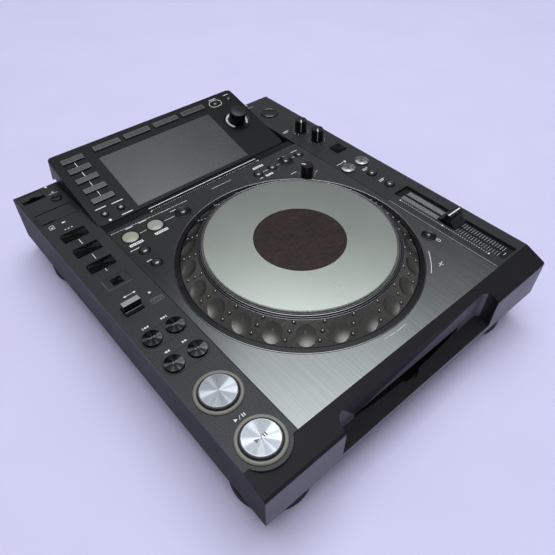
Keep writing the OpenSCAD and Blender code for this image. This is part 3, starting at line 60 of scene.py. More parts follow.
# Jog wheel: middle, radii, and the slope that holds the dimples
JOG_X, JOG_Y = 0, 144.6
JOG_R, BEZEL_R, PLATE_R = 103.2, 108.9, 82.7
SLOPE_IN_R, SLOPE_TOP, JOG_H = 88, 13.4, 17
SLOPE = math.atan2(SLOPE_TOP, JOG_R - SLOPE_IN_R)
# Dimples: count, turn of the first in degrees, radius and depth
DIMPLES, DIMPLE_TURN, DIMPLE_R, DIMPLE_D = 24, 5.44, 8.2, 1.9
# Rolls on the wheel's steps: radius, height, half width and half height
STEP_ROLLS = ((87.75, 13.45, 0.32, 0.3), (86.4, 14.1, 0.32, 0.3), (84.65, 14.72, 0.62, 0.42))
# Bumps between two dimples: radius, height and turn in degrees; then their size and their seats'
BUMP_ROWS = ((89.2, 12.34, 1.66), (94.4, 7.76, 0), (99.7, 3.09, -1.66))
BUMP_R, BUMP_RISE, BUMP_SEAT_R, BUMP_SEAT_RISE = 1.4, 1, 1.75, 0.12

# Deck: half widths of the plate and of the case, and radius of the lines round the bezel
PLATE_HALF, HALF_W, JOG_LINE_R = 115, 160, 112.8
# Big buttons: radius of the cap and its foot
CAP_R, CAP_FOOT = 14.3, 0.95
# Steeper middles of the small round buttons: radius and rise
DOME_SIZE, RESET_DOME_SIZE, HOOD_DOME_SIZE = (3.7, 1.7), (2.5, 1.4), (3.2, 1.7)
# Floors of the fader's channel and of the touch strip in front of the hood
CHANNEL_FLOOR, TOUCH_FLOOR = -3, -0.6
# Hood, on its slope: middles, then width and depth, or radius and height
SCREEN_X, SCREEN_Y, SCREEN_W, SCREEN_D = -6, 40.8, 134, 73
SELECTOR, SELECTOR_R, SELECTOR_H = (82.9, 53), 8.5, 13.3
SOURCE_KEYS = [(-96, 29.1 + 14.4 * i, 22.4, 6) for i in range(5)]
MENU_KEYS = [(-57.3 + 35.2 * i, 89, 29.2, 6.4) for i in range(4)]
HOOD_KEY_TOP = 1.4
# Rear panel and boards, in the deck's millimetres
PAN_REAR, BOARD_TOP, COIL_X, COIL_FAR = 398, -52.9, 104, 293
PHONOS_X, PHONO_Z = (-99, -85, -62), -45.9
INLET_X, INLET_Z = 92, -41.9
# Sockets and their face in the rear frame
LAN, USB_B, JACK = (-2, 31.9), (-32, 30.6), (42, 29.6)
SOCKET_FACE = 0.8
PRINT_T = 0.05


# ---- mesh helpers ----

class Shape:
    """Faces gathered in millimetres before they become one piece; by default a printed mark."""

    def __init__(self):
        self.points, self.faces = [], []

    def add(self, points, faces):
        base = len(self.points)
        self.points += [Vector(p) for p in points]
        self.faces += [[base + i for i in face] for face in faces]
        return self

    def prism(self, outline, low=0, high=PRINT_T):
        n = len(outline)
        area = sum(a[0] * b[1] - b[0] * a[1] for a, b in zip(outline, outline[1:] + outline[:1]))
        if area < 0:
            outline = outline[::-1]
        points = [(x, y, z) for z in (low, high) for x, y in outline]
        sides = [(i, (i + 1) % n, n + (i + 1) % n, n + i) for i in range(n)]
        return self.add(points, [tuple(reversed(range(n))), tuple(range(n, 2 * n))] + sides)

    def box(self, x, y, w, d, low=0, high=PRINT_T, turn=0, radius=0):
        outline = rounded(w, d, radius) if radius else corners(w / 2, d / 2)
        return self.prism(turned(outline, turn, x, y), low, high)

    def disc(self, x, y, r, low=0, high=PRINT_T, n=12):
        return self.prism(arc(x, y, r, 0, 360, n, ends=False), low, high)

    def band(self, x, y, inner, outer, low=0, high=PRINT_T, start=0, end=360, n=48):
        """Flat ring or part of one, from angle start to end in degrees."""
        whole = end - start >= 360
        a, b = arc(x, y, inner, start, end, n, not whole), arc(x, y, outer, start, end, n, not whole)
        m = len(a)
        points = [(px, py, z) for z in (low, high) for px, py in a + b]
        faces = []
        for i in range(m if whole else m - 1):
            j = (i + 1) % m
            faces += [(2 * m + i, 3 * m + i, 3 * m + j, 2 * m + j), (i, j, m + j, m + i),
                      (m + i, m + j, 3 * m + j, 3 * m + i), (j, i, 2 * m + i, 2 * m + j)]
        if not whole:
            faces += [(0, m, 3 * m, 2 * m), (2 * m - 1, m - 1, 3 * m - 1, 4 * m - 1)]
        return self.add(points, faces)

    def turn(self, x, y, profile, n=96):
        """Ring turned from a closed outline of (radius, height), given anticlockwise."""
        m = len(profile)
        points = []
        for i in range(n):
            a = 2 * math.pi * i / n
            points += [(x + r * math.cos(a), y + r * math.sin(a), z) for r, z in profile]
        faces = [(i * m + j, (i + 1) % n * m + j, (i + 1) % n * m + (j + 1) % m, i * m + (j + 1) % m)
                 for i in range(n) for j in range(m)]
        return self.add(points, faces)

    def dome(self, x, y, z, r, rise, n=16, rings=5, lean=None):
        """Cap of a sphere on a circle of radius r; lean turns it about its foot."""
        points, faces = [], []
        for k in range(rings):
            t = k / rings * math.pi / 2
            ring = arc(0, 0, r * math.cos(t), 0, 360, n, ends=False)
            points += [(px, py, rise * math.sin(t)) for px, py in ring]
        points.append((0, 0, rise))
        for k in range(rings - 1):
            a, b = k * n, (k + 1) * n
            faces += [(a + i, a + (i + 1) % n, b + (i + 1) % n, b + i) for i in range(n)]
        last = (rings - 1) * n
        faces += [(last + i, last + (i + 1) % n, rings * n) for i in range(n)]
        faces.append(tuple(reversed(range(n))))
        move = Matrix.Translation((x, y, z)) @ (lean or Matrix.Identity(4))
        return self.add([move @ Vector(p) for p in points], faces)

    def line(self, points, width, low=0, high=PRINT_T, closed=False):
        """Ribbon of a width along a polyline."""
        n = len(points)
        left, right = [], []
        for i, (x, y) in enumerate(points):
            before = points[i - 1] if i or closed else None
            after = points[(i + 1) % n] if i < n - 1 or closed else None
            ways = []
            for a, b in ((before, (x, y)), ((x, y), after)):
                if a and b:
                    ways.append(Vector((b[0] - a[0], b[1] - a[1])).normalized())
            mean = sum(ways, Vector((0, 0))).normalized()
            across = Vector((-mean.y, mean.x)) * width / 2 / max(0.3, mean.dot(ways[0]))
            left.append((x + across.x, y + across.y))
            right.append((x - across.x, y - across.y))
        for i in range(n if closed else n - 1):
            j = (i + 1) % n
            self.prism([right[i], right[j], left[j], left[i]], low, high)
        return self

    def rim(self, x, y, w, d, radius, width, low=0, high=PRINT_T):
        """Line round a rectangle with round corners."""
        return self.line(turned(rounded(w, d, radius), 0, x, y), width, low, high, closed=True)

    def build(self, name, material, body="player", place=DECK_FRAME, smooth=30, slot=None, edges=0):
        mesh = bpy.data.meshes.new(name)
        mesh.from_pydata([place @ p for p in self.points], [], self.faces)
        mesh.materials.append(material)
        mesh.update()
        mesh.shade_smooth()
        mesh.set_sharp_from_angle(angle=math.radians(smooth))
        piece = put(name, mesh)
        if edges:
            bevel = piece.modifiers.new("round", "BEVEL")
            bevel.width, bevel.segments, bevel.limit_method = edges * MM, 2, "ANGLE"
        slot = slot or SLOTS[material.name]
        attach(piece, body)


def put(name, data):
    """Puts an object with this data into the scene."""
    thing = bpy.data.objects.new(name, data)
    bpy.context.collection.objects.link(thing)
    return thing


def polar(x, y, r, degrees):
    """Point of a circle at an angle."""
    a = math.radians(degrees)
    return x + r * math.cos(a), y + r * math.sin(a)


def arc(x, y, r, start, end, n, ends=True):
    """Points on a circle, from start to end in degrees."""
    return [polar(x, y, r, start + (end - start) * i / n) for i in range(n + 1 if ends else n)]


def corners(half_w, half_d):
    """Outline of a rectangle about the origin."""
    return [(-half_w, -half_d), (half_w, -half_d), (half_w, half_d), (-half_w, half_d)]


def rounded(w, d, r, n=6):
    """Outline of a rectangle with round corners about the origin."""
    x, y = w / 2 - r, d / 2 - r
    quarters = ((x, y, 0), (-x, y, 90), (-x, -y, 180), (x, -y, 270))
    return [point for qx, qy, start in quarters for point in arc(qx, qy, r, start, start + 90, n)]


def turned(outline, degrees, x, y):
    """An outline turned about the origin and moved to x, y."""
    c, s = polar(0, 0, 1, degrees)
    return [(x + px * c - py * s, y + px * s + py * c) for px, py in outline]


def centre(node):
    """Middle of a CAD node, as x and y on the deck."""
    low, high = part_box(node)
    return ((low[0] + high[0]) / 2 / MM, ((low[1] + high[1]) / 2 - FRONT) / MM)


def top_of(node):
    """Height of a CAD node's top above the deck."""
    return (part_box(node)[1][2] - DECK) / MM


# ---- materials ----

class Nodes:
    """Node tree of a material or of the world, with short calls for the nodes that they need."""

    def __init__(self, owner):
        owner.use_nodes = True
        self.owner, self.tree = owner, owner.node_tree
        self.shader = self.tree.nodes.get("Principled BSDF")
        self.coordinates = self.new("TexCoord").outputs

    def new(self, kind, inputs=None, **settings):
        """A shader node with its inputs and settings."""
        node = self.tree.nodes.new("ShaderNode" + kind)
        for key, value in settings.items():
            setattr(node, key, value)
        return self.feed(node, inputs or {})

    def feed(self, node, inputs):
        """Gives a node's inputs, by name or number, their values and links."""
        for key, value in inputs.items():
            if isinstance(value, bpy.types.NodeSocket):
                self.link(value, node.inputs[key])
            else:
                node.inputs[key].default_value = value
        return node

    def link(self, a, b):
        self.tree.links.new(a, b)

    def noise(self, scale, detail=2, stretch=(1, 1, 1), turn=(0, 0, 0)):
        place = self.new("Mapping", {"Rotation": turn, "Scale": stretch,
                                     "Vector": self.coordinates["Object"]}).outputs["Vector"]
        return self.new("TexNoise", {"Scale": scale, "Detail": detail, "Vector": place}).outputs["Fac"]

    def span(self, fac, low, high, a=0.3, b=0.7):
        """Spreads the part of a value from a to b over low to high."""
        return self.new("MapRange", {"From Min": a, "From Max": b, "To Min": low, "To Max": high,
                                     "Value": fac}).outputs["Result"]

    def blend(self, fac, a, b, low=0.3, high=0.7):
        ramp = self.new("ValToRGB")
        ramp.color_ramp.elements[0].position, ramp.color_ramp.elements[1].position = low, high
        ramp.color_ramp.elements[0].color, ramp.color_ramp.elements[1].color = (*a, 1), (*b, 1)
        self.link(fac, ramp.inputs["Fac"])
        return ramp.outputs["Color"]

    def bump(self, height, depth, normal=None):
        inputs = {"Strength": 1, "Distance": depth * MM, "Height": height}
        if normal:
            inputs["Normal"] = normal
        return self.new("Bump", inputs).outputs["Normal"]

    def vector(self, operation, *inputs):
        return self.new("VectorMath", dict(enumerate(inputs)), operation=operation).outputs

    def painted_sectors(self, colour, depth):
        """Painted highlight and shade: light and dark parts by angle about the middle of the piece's box,
        in the colour.
        """
        middle = self.vector("SUBTRACT", self.coordinates["Generated"], (0.5, 0.5, 0.5))["Vector"]
        flat = self.vector("MULTIPLY", middle, (1, 1, 0))["Vector"]
        way = self.vector("NORMALIZE", flat)["Vector"]
        noise = self.new("TexNoise", {"Scale": 1.7, "Detail": 1, "Vector": way}).outputs["Fac"]
        light = self.blend(noise, (1 - depth,) * 3, (1, 1, 1), 0.42, 0.62)
        return self.new("Mix", {"Factor": 1, "A": colour, "B": light}, data_type="RGBA",
                        blend_type="MULTIPLY").outputs["Result"]

    def soften(self, radius):
        return self.new("Bevel", {"Radius": radius * MM}, samples=4).outputs["Normal"]


def scaled(colour, k):
    return tuple(min(1, c * k) for c in colour)


def finish(name, colour, rough, metal=0, shade=0.05, grain=500, rough_shift=0.05, depth=0,
           stretch=(1, 1, 1), coat=0, coat_rough=0.04, soft=0.25, spin=0, lines=0, smudge=0.04,
           specular=0.5, painted_wedges=0, edge=1):
    """A finish with grain in its colour, roughness and surface, faint smudges and softened edges.

    lines brushes it along y and spin about the piece's middle, where painted_wedges paints a spun face's
    light
    and dark parts into its colour: painted highlight and shade. edge is how much of the shine at a flat
    angle is left.
    """
    n = Nodes(bpy.data.materials.new(name))
    fine = n.noise(grain, 3, stretch)
    tint = n.blend(fine, scaled(colour, 1 - shade), scaled(colour, 1 + shade))
    n.link(n.painted_sectors(tint, painted_wedges) if painted_wedges else tint, n.shader.inputs["Base Color"])
    grains = n.span(fine, rough - rough_shift, rough + rough_shift)
    smudges = n.span(n.noise(22, 3), -smudge, smudge)
    total = n.new("Math", {0: grains, 1: smudges}, operation="ADD")
    n.feed(n.shader, {"Roughness": total.outputs["Value"]})
    normal = n.soften(soft) if soft else None
    if depth:
        n.link(n.bump(fine, depth, normal), n.shader.inputs["Normal"])
    elif normal:
        n.link(normal, n.shader.inputs["Normal"])
    n.feed(n.shader, {"Metallic": metal, "Specular IOR Level": specular, "Coat Weight": coat,
                      "Coat Roughness": coat_rough, "Specular Tint": (edge, edge, edge, 1)})
    if spin or lines:
        tangent = n.new("Tangent", direction_type="RADIAL", axis="Z" if spin else "Y")
        n.feed(n.shader, {"Anisotropic": spin or lines, "Tangent": tangent.outputs["Tangent"]})
    return n.owner


CASE = finish("case_satin", (0.026, 0.025, 0.029), 0.45, metal=0.5, shade=0.1, grain=1600, depth=0.006,
              soft=0.5, specular=0.2, edge=0.5)
# Painted light: the case's lower front wall takes a paler colour, standing in for the table's reflected
# light
CASE_FRONT_PAINTED_LIGHT = finish("case_front_painted_light", (0.085, 0.08, 0.092), 0.4, shade=0.1, grain=1600, depth=0.006, soft=0.5)
STRIP = finish("strip_metallic", (0.045, 0.048, 0.051), 0.42, metal=0.5, shade=0.75, grain=1500, depth=0.04,
               specular=0.25)
DECK_METAL = finish("deck_brushed", (0.195, 0.211, 0.204), 0.22, metal=1, shade=0.08, grain=420,
                    stretch=(2.4, 0.03, 1), depth=0.002, rough_shift=0.015, lines=0.6, smudge=0.01)
HOOD = finish("hood_satin", (0.008, 0.0085, 0.009), 0.36, shade=0.14, grain=1500, depth=0.006, soft=0.4,
              specular=0.14)
TOUCH = finish("touch_gloss", (0.006, 0.006, 0.007), 0.24, shade=0.06, grain=800, specular=0.3)
SCREEN = finish("screen_glass", (0.038, 0.041, 0.04), 0.26, shade=0.06, grain=900, depth=0.0015, coat=0.1,
                coat_rough=0.14)
BEZEL = finish("bezel_gloss", (0.006, 0.006, 0.007), 0.22, shade=0.2, grain=300, specular=0.3)
EDGE = finish("bezel_edge", (0.2, 0.206, 0.212), 0.24, metal=1, soft=0)
RIM = finish("rim_gunmetal", (0.225, 0.218, 0.2), 0.3, metal=1, shade=0.06, grain=700, depth=0.001,
             smudge=0.01, edge=0.3)
# Painted shade: the dimples take a darker colour than the slope, so that their hollows show; they are also
# rougher
DIMPLE_SHADED = finish("dimple_metal_painted_shade", (0.16, 0.157, 0.147), 0.45, metal=1, grain=700, depth=0.001, soft=0,
                edge=0.3)
PLATTER = finish("platter_satin", (0.51, 0.556, 0.515), 0.3, metal=1, grain=1900, depth=0.002, smudge=0.01,
                 rough_shift=0.02)
GLOSS = finish("gloss_black", (0.007, 0.007, 0.008), 0.1, shade=0.1, grain=400, coat=0.3, smudge=0.01,
               rough_shift=0.02)
DOME_BLACK = finish("dome_black", (0.007, 0.007, 0.008), 0.1, shade=0.1, grain=400, coat=1, soft=0,
                    specular=1, smudge=0.01, rough_shift=0.02)
# painted_wedges in the spun finishes paints light and dark parts by angle into their colour: painted
# highlight and shade, on top of their real spin
SPUN_BLACK = finish("spun_black", (0.1, 0.101, 0.104), 0.26, metal=1, shade=0.1, coat=0.15, spin=0.8,
                    painted_wedges=0.85)
SPUN_KEY = finish("spun_key", (0.036, 0.036, 0.038), 0.26, metal=1, shade=0.1, coat=0.15, spin=0.8,
                  painted_wedges=0.8)
SPUN_CAP = finish("spun_aluminium", (0.4, 0.43, 0.47), 0.26, metal=1, shade=0.03, grain=700, depth=0.001,
                  spin=0.85, painted_wedges=0.45, smudge=0.01)
CAP_RING = finish("cap_ring", (0.2, 0.195, 0.165), 0.36, grain=600, depth=0.001, coat=0.2)
SILVER = finish("silver_dome", (0.5, 0.51, 0.53), 0.24, metal=1, shade=0.03, spin=0.75, painted_wedges=0.5)
LEVER_TOP = finish("lever_top", (0.42, 0.41, 0.45), 0.35, metal=0.6, shade=0.03)
BEIGE = finish("beige_dome", (0.36, 0.37, 0.31), 0.3, shade=0.03, coat=0.3)
KEY = finish("clear_grey_key", (0.036, 0.037, 0.036), 0.28, shade=0.1, coat=0.15)
KNOB = finish("knob_black", (0.008, 0.008, 0.009), 0.33, shade=0.15, grain=900, depth=0.003, specular=0.4)
RUBBER = finish("rubber", (0.016, 0.016, 0.017), 0.7, shade=0.15, grain=900, depth=0.01, specular=0.3)
PAN = finish("pan_coated", (0.02, 0.02, 0.022), 0.48, metal=0.2, shade=0.2, grain=1300, depth=0.012)
STEEL = finish("steel", (0.52, 0.52, 0.53), 0.3, metal=1, shade=0.06, grain=600, depth=0.002)
INNER = finish("inner_black", (0.01, 0.01, 0.011), 0.5, shade=0.15, grain=900, depth=0.006)
BOARD = finish("board_green", (0.02, 0.095, 0.045), 0.42, shade=0.2, grain=260, depth=0.004)
SOCKET = finish("socket_black", (0.012, 0.012, 0.013), 0.42, shade=0.12, grain=900, depth=0.004)
NICKEL = finish("nickel", (0.66, 0.65, 0.62), 0.22, metal=1)
WHITE_PLASTIC = finish("white_plastic", (0.62, 0.62, 0.6), 0.4, shade=0.04, grain=600, soft=0.1)
RED_PLASTIC = finish("red_plastic", (0.38, 0.02, 0.018), 0.4, shade=0.06, grain=600, soft=0.1)
ORANGE_PLASTIC = finish("orange_plastic", (0.5, 0.14, 0.015), 0.4, shade=0.06, grain=600, soft=0.1)
GOLD = finish("gold_contact", (0.7, 0.48, 0.18), 0.28, metal=1, soft=0)
CAN = finish("capacitor_sleeve", (0.02, 0.024, 0.06), 0.35, shade=0.08)
PRINT = finish("print_white", (0.86, 0.88, 0.9), 0.55, grain=900, soft=0)
PRINT_MID = finish("print_mid", (0.52, 0.54, 0.56), 0.55, grain=900, soft=0)
PRINT_DIM = finish("print_grey", (0.17, 0.18, 0.19), 0.55, grain=900, soft=0)
DARK = finish("dark_line", (0.004, 0.004, 0.004), 0.45, shade=0.1, soft=0, specular=0.2)
POLISHED = finish("polished_edge", (0.34, 0.35, 0.37), 0.22, metal=1, shade=0.03, soft=0)
LENS_GREY = finish("lamp_window", (0.045, 0.047, 0.047), 0.24, shade=0.06, coat=0.2)
STEP_EDGE = finish("step_edge", (0.11, 0.112, 0.118), 0.25, metal=1, shade=0.03, soft=0)
ROLL = finish("step_rolls", (0.24, 0.24, 0.26), 0.2, metal=1, soft=0)
STEP_DARK = finish("step_dark", (0.035, 0.035, 0.036), 0.3, metal=1, soft=0)
BUMP = finish("bump_polished", (0.24, 0.24, 0.24), 0.26, metal=1, shade=0.03, soft=0)
LIT_RING = finish("lit_ring", (0.62, 0.64, 0.64), 0.3, shade=0.03, coat=0.3, soft=0)


def window_finish():
    """Dark display window with a mottled red-brown depth under a satin cover."""
    n = Nodes(bpy.data.materials.new("window_mottled"))
    cells = n.noise(260, 4, (1, 2.2, 1), (0, 0, math.radians(25)))
    wide = n.noise(38, 2)
    dark = n.blend(cells, (0.01, 0.009, 0.008), (0.026, 0.02, 0.018))
    warm = n.blend(cells, (0.022, 0.01, 0.009), (0.042, 0.022, 0.02))
    share = n.span(wide, 0.3, 0.85, 0.35, 0.65)
    mix = n.new("Mix", {"Factor": share, "A": dark, "B": warm}, data_type="RGBA")
    n.feed(n.shader, {"Base Color": mix.outputs["Result"], "Roughness": n.span(cells, 0.3, 0.42),
                      "Normal": n.bump(cells, 0.004), "Specular IOR Level": 0.25})
    return n.owner


WINDOW = window_finish()

FINISHES = {
    "case": CASE, "strip": STRIP, "deck": DECK_METAL, "hood": HOOD, "screen": SCREEN, "gloss_black": GLOSS,
    "wheel": RIM, "platter": PLATTER, "window": WINDOW, "inner": INNER, "pan": PAN, "rubber": RUBBER,
    "steel": STEEL, "board": BOARD, "socket": SOCKET, "light_cap": SPUN_CAP, "silver": SILVER,
    "beige": BEIGE, "grey_key": KEY, "knob": KNOB,
}
SPECIAL = {"jog_bezel": BEZEL, "direction_lever": GLOSS}
# Slot of a piece by its finish, where the piece doesn't name another one; build looks it up but gives it to
# nothing
SLOTS = {material.name: slot for slot, materials in (
    ("gloss_black", (BEZEL, DARK, DOME_BLACK, EDGE, GLOSS, LENS_GREY, SPUN_KEY, STEP_EDGE)),
    ("silver", (LIT_RING, PRINT, PRINT_DIM, PRINT_MID)), ("light_cap", (CAP_RING, POLISHED)),
    ("socket", (GOLD, NICKEL, SOCKET, WHITE_PLASTIC)), ("steel", (STEEL,)), ("knob", (KNOB,)),
    ("wheel", (BUMP, ROLL))) for material in materials}
BIG_BUTTONS = ("play_button", "cue_button")
# Spun buttons: name, way of their arrowheads, and whether a bar stands at the arrowheads' tip
SPUN_BUTTONS = (("search_back_button", -1, False), ("search_next_button", 1, False),
                ("track_back_button", -1, True), ("track_next_button", 1, True))
SPUN_PAIRS = (("search_back_button", "search_next_button"), ("track_back_button", "track_next_button"))
CUE_KEYS = ("hot_cue_a", "hot_cue_b", "hot_cue_c")
# Small round buttons of the deck: name, and the radius and rise of its steeper middle
SMALL_BUTTONS = [(name + "_button", DOME_SIZE) for name in (
    "loop_mode", "slip", "reloop", "call_prev", "call_next", "delete", "memory", "tempo_range",
    "master_tempo")] + [("tempo_reset_button", RESET_DOME_SIZE)]
# Small round buttons of the hood: name and middle on the slope
HOOD_BUTTONS = (("quantize_button", -104.5, 11.1), ("time_mode_button", -87.9, 10.8))


def dress(node, material):
    """Gives a CAD node a finish in its own material slots."""
    for slot in frame["nodes"][node].material_slots:
        slot.material = material


def paint(node, material, wanted):
    """Gives a finish to the faces whose middle, in millimetres on the deck, passes the test."""
    mesh = frame["nodes"][node].data
    mesh.materials.append(material)
    index = len(mesh.materials) - 1
    back = DECK_FRAME.inverted()
    for face in mesh.polygons:
        if wanted(back @ face.center, face.normal):
            face.material_index = index


def in_dimple(p, normal):
    """Whether a face of the wheel lies on one of the balls that its dimples are cut with."""
    middle_r = (JOG_R + SLOPE_IN_R) / 2 - 0.8
    middle_z = SLOPE_TOP * (JOG_R - middle_r) / (JOG_R - SLOPE_IN_R)
    ball_r = (DIMPLE_R ** 2 + DIMPLE_D ** 2) / (2 * DIMPLE_D)
    lift = ball_r - DIMPLE_D
    step = 360 / DIMPLES
    here = math.degrees(math.atan2(p.y - JOG_Y, p.x - JOG_X))
    a = DIMPLE_TURN + step * round((here - DIMPLE_TURN) / step)
    x, y = polar(JOG_X, JOG_Y, middle_r + lift * math.cos(SLOPE), a)
    ball = Vector((x, y, middle_z + lift * math.sin(SLOPE)))
    return normal.z > 0 and (p - ball).length < ball_r + 0.002


def on_step(p):
    """Whether a face of the wheel lies on the steps between its slope and its plate."""
    r = math.hypot(p.x - JOG_X, p.y - JOG_Y)
    return p.z > SLOPE_TOP - 0.02 and PLATE_R - 2 < r < SLOPE_IN_R - 0.1


def at_phono(p, x):
    """Whether a point lies within the sleeve of the phono socket at x."""
    return math.hypot(p.x - x, p.z - PHONO_Z) < 4.3


def on_supply(p):
    """Whether a point lies on the transformer or the capacitors of the supply board."""
    return BOARD_TOP + 0.1 < p.z < BOARD_TOP + 30 and abs(p.x - COIL_X) < 19


def dress_all():
    """Gives each CAD node the finish of its slot, and some faces a finish of their own."""
    for part in frame["record"]["subparts"]:
        node = part["node"]
        dress(node, SPECIAL.get(node) or FINISHES[part["material_slot"]])
    for node, _, _ in SPUN_BUTTONS:
        dress(node, SPUN_BLACK)
    for node in BIG_BUTTONS:
        x, y = centre(node)
        paint(node, CAP_RING, lambda p, n: math.hypot(p.x - x, p.y - y) > CAP_R or p.z < CAP_FOOT)
    # painted shade: the darker colour of the dimples
    paint("jog_wheel", DIMPLE_SHADED, in_dimple)
    paint("jog_wheel", STEP_DARK, lambda p, n: on_step(p))
    for x, cap in zip(PHONOS_X, (WHITE_PLASTIC, RED_PLASTIC, ORANGE_PLASTIC)):
        paint("sockets", NICKEL, lambda p, n: at_phono(p, x) and p.y > PAN_REAR + 0.9)
        paint("sockets", cap, lambda p, n: at_phono(p, x) and n.y > 0.9 and p.y > PAN_REAR + 5)
    for dx, dz in ((-7, -1.5), (0, 3), (7, -1.5)):
        paint("sockets", NICKEL, lambda p, n: abs(p.x - INLET_X - dx) < 1.1
              and abs(p.z - INLET_Z - dz) < 2.1 and -16.5 < p.y - PAN_REAR < -5.5)
    paint("circuit_boards", SOCKET, lambda p, n: BOARD_TOP + 0.1 < p.z < BOARD_TOP + 3)
    paint("circuit_boards", CAN, lambda p, n: on_supply(p))
    paint("circuit_boards", STEEL, lambda p, n: on_supply(p) and p.y < COIL_FAR)
    paint("display_housing", TOUCH, lambda p, n: p.y < HOOD_Y - 0.1)
    # painted light: the lower front wall of the case is made paler than the case
    paint("upper_case", CASE_FRONT_PAINTED_LIGHT, lambda p, n: n.y < -0.7 and p.z < -12)
    paint("direction_lever", LEVER_TOP, lambda p, n: n.z > 0.9 and p.z > 7.9)


# ---- pieces on the deck ----

def jog_details():
    """Smooth rolls on the steps, bumps between the dimples, and bright edges of plate and bezel."""
    rolls = Shape()
    for r, z, half_w, half_h in STEP_ROLLS:
        hump = [(r + half_w * math.cos(math.radians(a)), z + half_h * math.sin(math.radians(a)))
                for a in range(-60, 241, 30)]
        rolls.turn(JOG_X, JOG_Y, hump, 240)
    rolls.build("jog_step_rolls", ROLL, "wheel", smooth=60)

    bumps, seats = Shape(), Shape()
    for i in range(DIMPLES):
        middle = DIMPLE_TURN + 360 / DIMPLES * (i + 0.5)
        for r, z, beside in BUMP_ROWS:
            a = middle + beside
            turn = Matrix.Rotation(math.radians(a), 4, "Z") @ Matrix.Rotation(SLOPE, 4, "Y")
            x, y = polar(JOG_X, JOG_Y, r, a)
            bumps.dome(x, y, z, BUMP_R, BUMP_RISE, n=14, lean=turn)
            seats.dome(x, y, z, BUMP_SEAT_R, BUMP_SEAT_RISE, n=18, rings=2, lean=turn)
    bumps.build("jog_bumps", BUMP, "wheel", smooth=80)
    seats.build("jog_bump_seats", DARK, "wheel")

    lip = Shape().band(JOG_X, JOG_Y, PLATE_R - 0.9, PLATE_R - 0.15, JOG_H - 0.02, JOG_H + 0.05, n=180)
    lip.build("jog_plate_lip", EDGE, "wheel", slot="platter")

    edge = Shape()
    edge.turn(JOG_X, JOG_Y, [(BEZEL_R - 0.75, 0.28), (BEZEL_R - 0.05, 0.28), (BEZEL_R - 0.05, 0.42),
                             (BEZEL_R - 0.45, 0.52), (BEZEL_R - 0.75, 0.42)], 240)
    edge.build("bezel_edge", EDGE, "player")


# Rings of the big buttons as radius and height: round the cap, and at the cap's edge
RING_PROFILE = [(15.2, 0.7), (17.5, 0.7), (17.5, 1.05), (16.9, 1.45), (15.8, 1.45), (15.2, 1.1)]
RIM_PROFILE = [(12.9, 3), (14.12, 2), (14.14, 2.35), (13, 3.24), (12.7, 3.24)]
PLAY_TOP = 3.2


def transport_details():
    """Rings, grooves and the play and pause symbol of the two big buttons."""
    for node in BIG_BUTTONS:
        x, y = centre(node)
        body = node + "_body"
        Shape().turn(x, y, RING_PROFILE).build(node + "_ring", CAP_RING, body)
        Shape().band(x, y, 14.15, 15.25, 0.85, 0.97, n=96).build(node + "_groove", DARK, body)
        Shape().turn(x, y, RIM_PROFILE).build(node + "_rim", POLISHED, body)
    x, y = centre("play_button")
    low, high = PLAY_TOP, PLAY_TOP + PRINT_T
    mark = Shape()
    mark.prism([(x - 4.9, y - 1.5), (x - 1.8, y), (x - 4.9, y + 1.5)], low, high)
    mark.line([(x - 0.8, y - 1.7), (x + 0.8, y + 1.7)], 0.3, low, high)
    for dx in (2.2, 3.9):
        mark.box(x + dx, y, 0.9, 3, low, high)
    mark.build("play_symbol", LENS_GREY, "play_button_body")


# Caps of the oblong keys: name, half width, half depth, border, rise and half the waist's width
FACET_CAPS = [(node, 11.2, 4.9, 0.8, 0.42, 1.3) for node in CUE_KEYS]
FACET_CAPS += [("call_button", 4.2, 3.2, 0.5, 0.3, 0.4), ("jog_mode_button", 6.5, 6, 0.7, 0.3, 0.3)]
WAIST_RISE = 0.03


def facet_caps():
    """Bow-tie caps of the oblong keys: four facets that fall to the middle inside a raised frame."""
    for node, half_w, half_d, border, rise, half_waist in FACET_CAPS:
        x, y = centre(node)
        top = top_of(node)
        foot, lip = corners(half_w, half_d), corners(half_w - border, half_d - border)
        waist = [(-half_waist, 0), (half_waist, 0)]
        points = [(x + px, y + py, top) for px, py in foot]
        points += [(x + px, y + py, top + rise) for px, py in foot + lip]
        points += [(x + px, y + py, top + WAIST_RISE) for px, py in waist]
        faces = [(3, 2, 1, 0)]
        for i in range(4):
            j = (i + 1) % 4
            faces += [(i, j, 4 + j, 4 + i), (4 + i, 4 + j, 8 + j, 8 + i)]
        faces += [(8, 9, 13, 12), (9, 10, 13), (10, 11, 12, 13), (11, 8, 12)]
        Shape().add(points, faces).build(node + "_cap", SPUN_KEY, node + "_body", smooth=12)


def cap_symbols():
    """Arrowheads on the track and search caps."""
    for node, way, bar in SPUN_BUTTONS:
        x, y = centre(node)
        low, high = top_of(node) - 0.25, top_of(node) + PRINT_T
        mark = Shape()
        for dx in (-1.2, 1):
            triangle(mark, x + way * dx, y, 2, way, low, high)
        if bar:
            mark.box(x + way * 2.5, y, 0.45, 2, low, high)
        mark.build(node + "_symbol", PRINT_DIM, node + "_body")


def small_domes():
    """Steeper glossy middles on the small round buttons, which catch a small highlight."""
    for node, (r, rise) in SMALL_BUTTONS:
        dress(node, DARK)
        x, y = centre(node)
        dome = Shape().dome(x, y, top_of(node) - 0.85, r, rise, n=28, rings=8)
        dome.build(node + "_dome", DOME_BLACK, node + "_body", smooth=80)
    for node, x, y in HOOD_BUTTONS:
        dress(node, DARK)
        dome = Shape().dome(x, y, 0.8, *HOOD_DOME_SIZE, n=28, rings=8)
        dome.build(node + "_dome", DOME_BLACK, node + "_body", HOOD_FRAME, smooth=80)


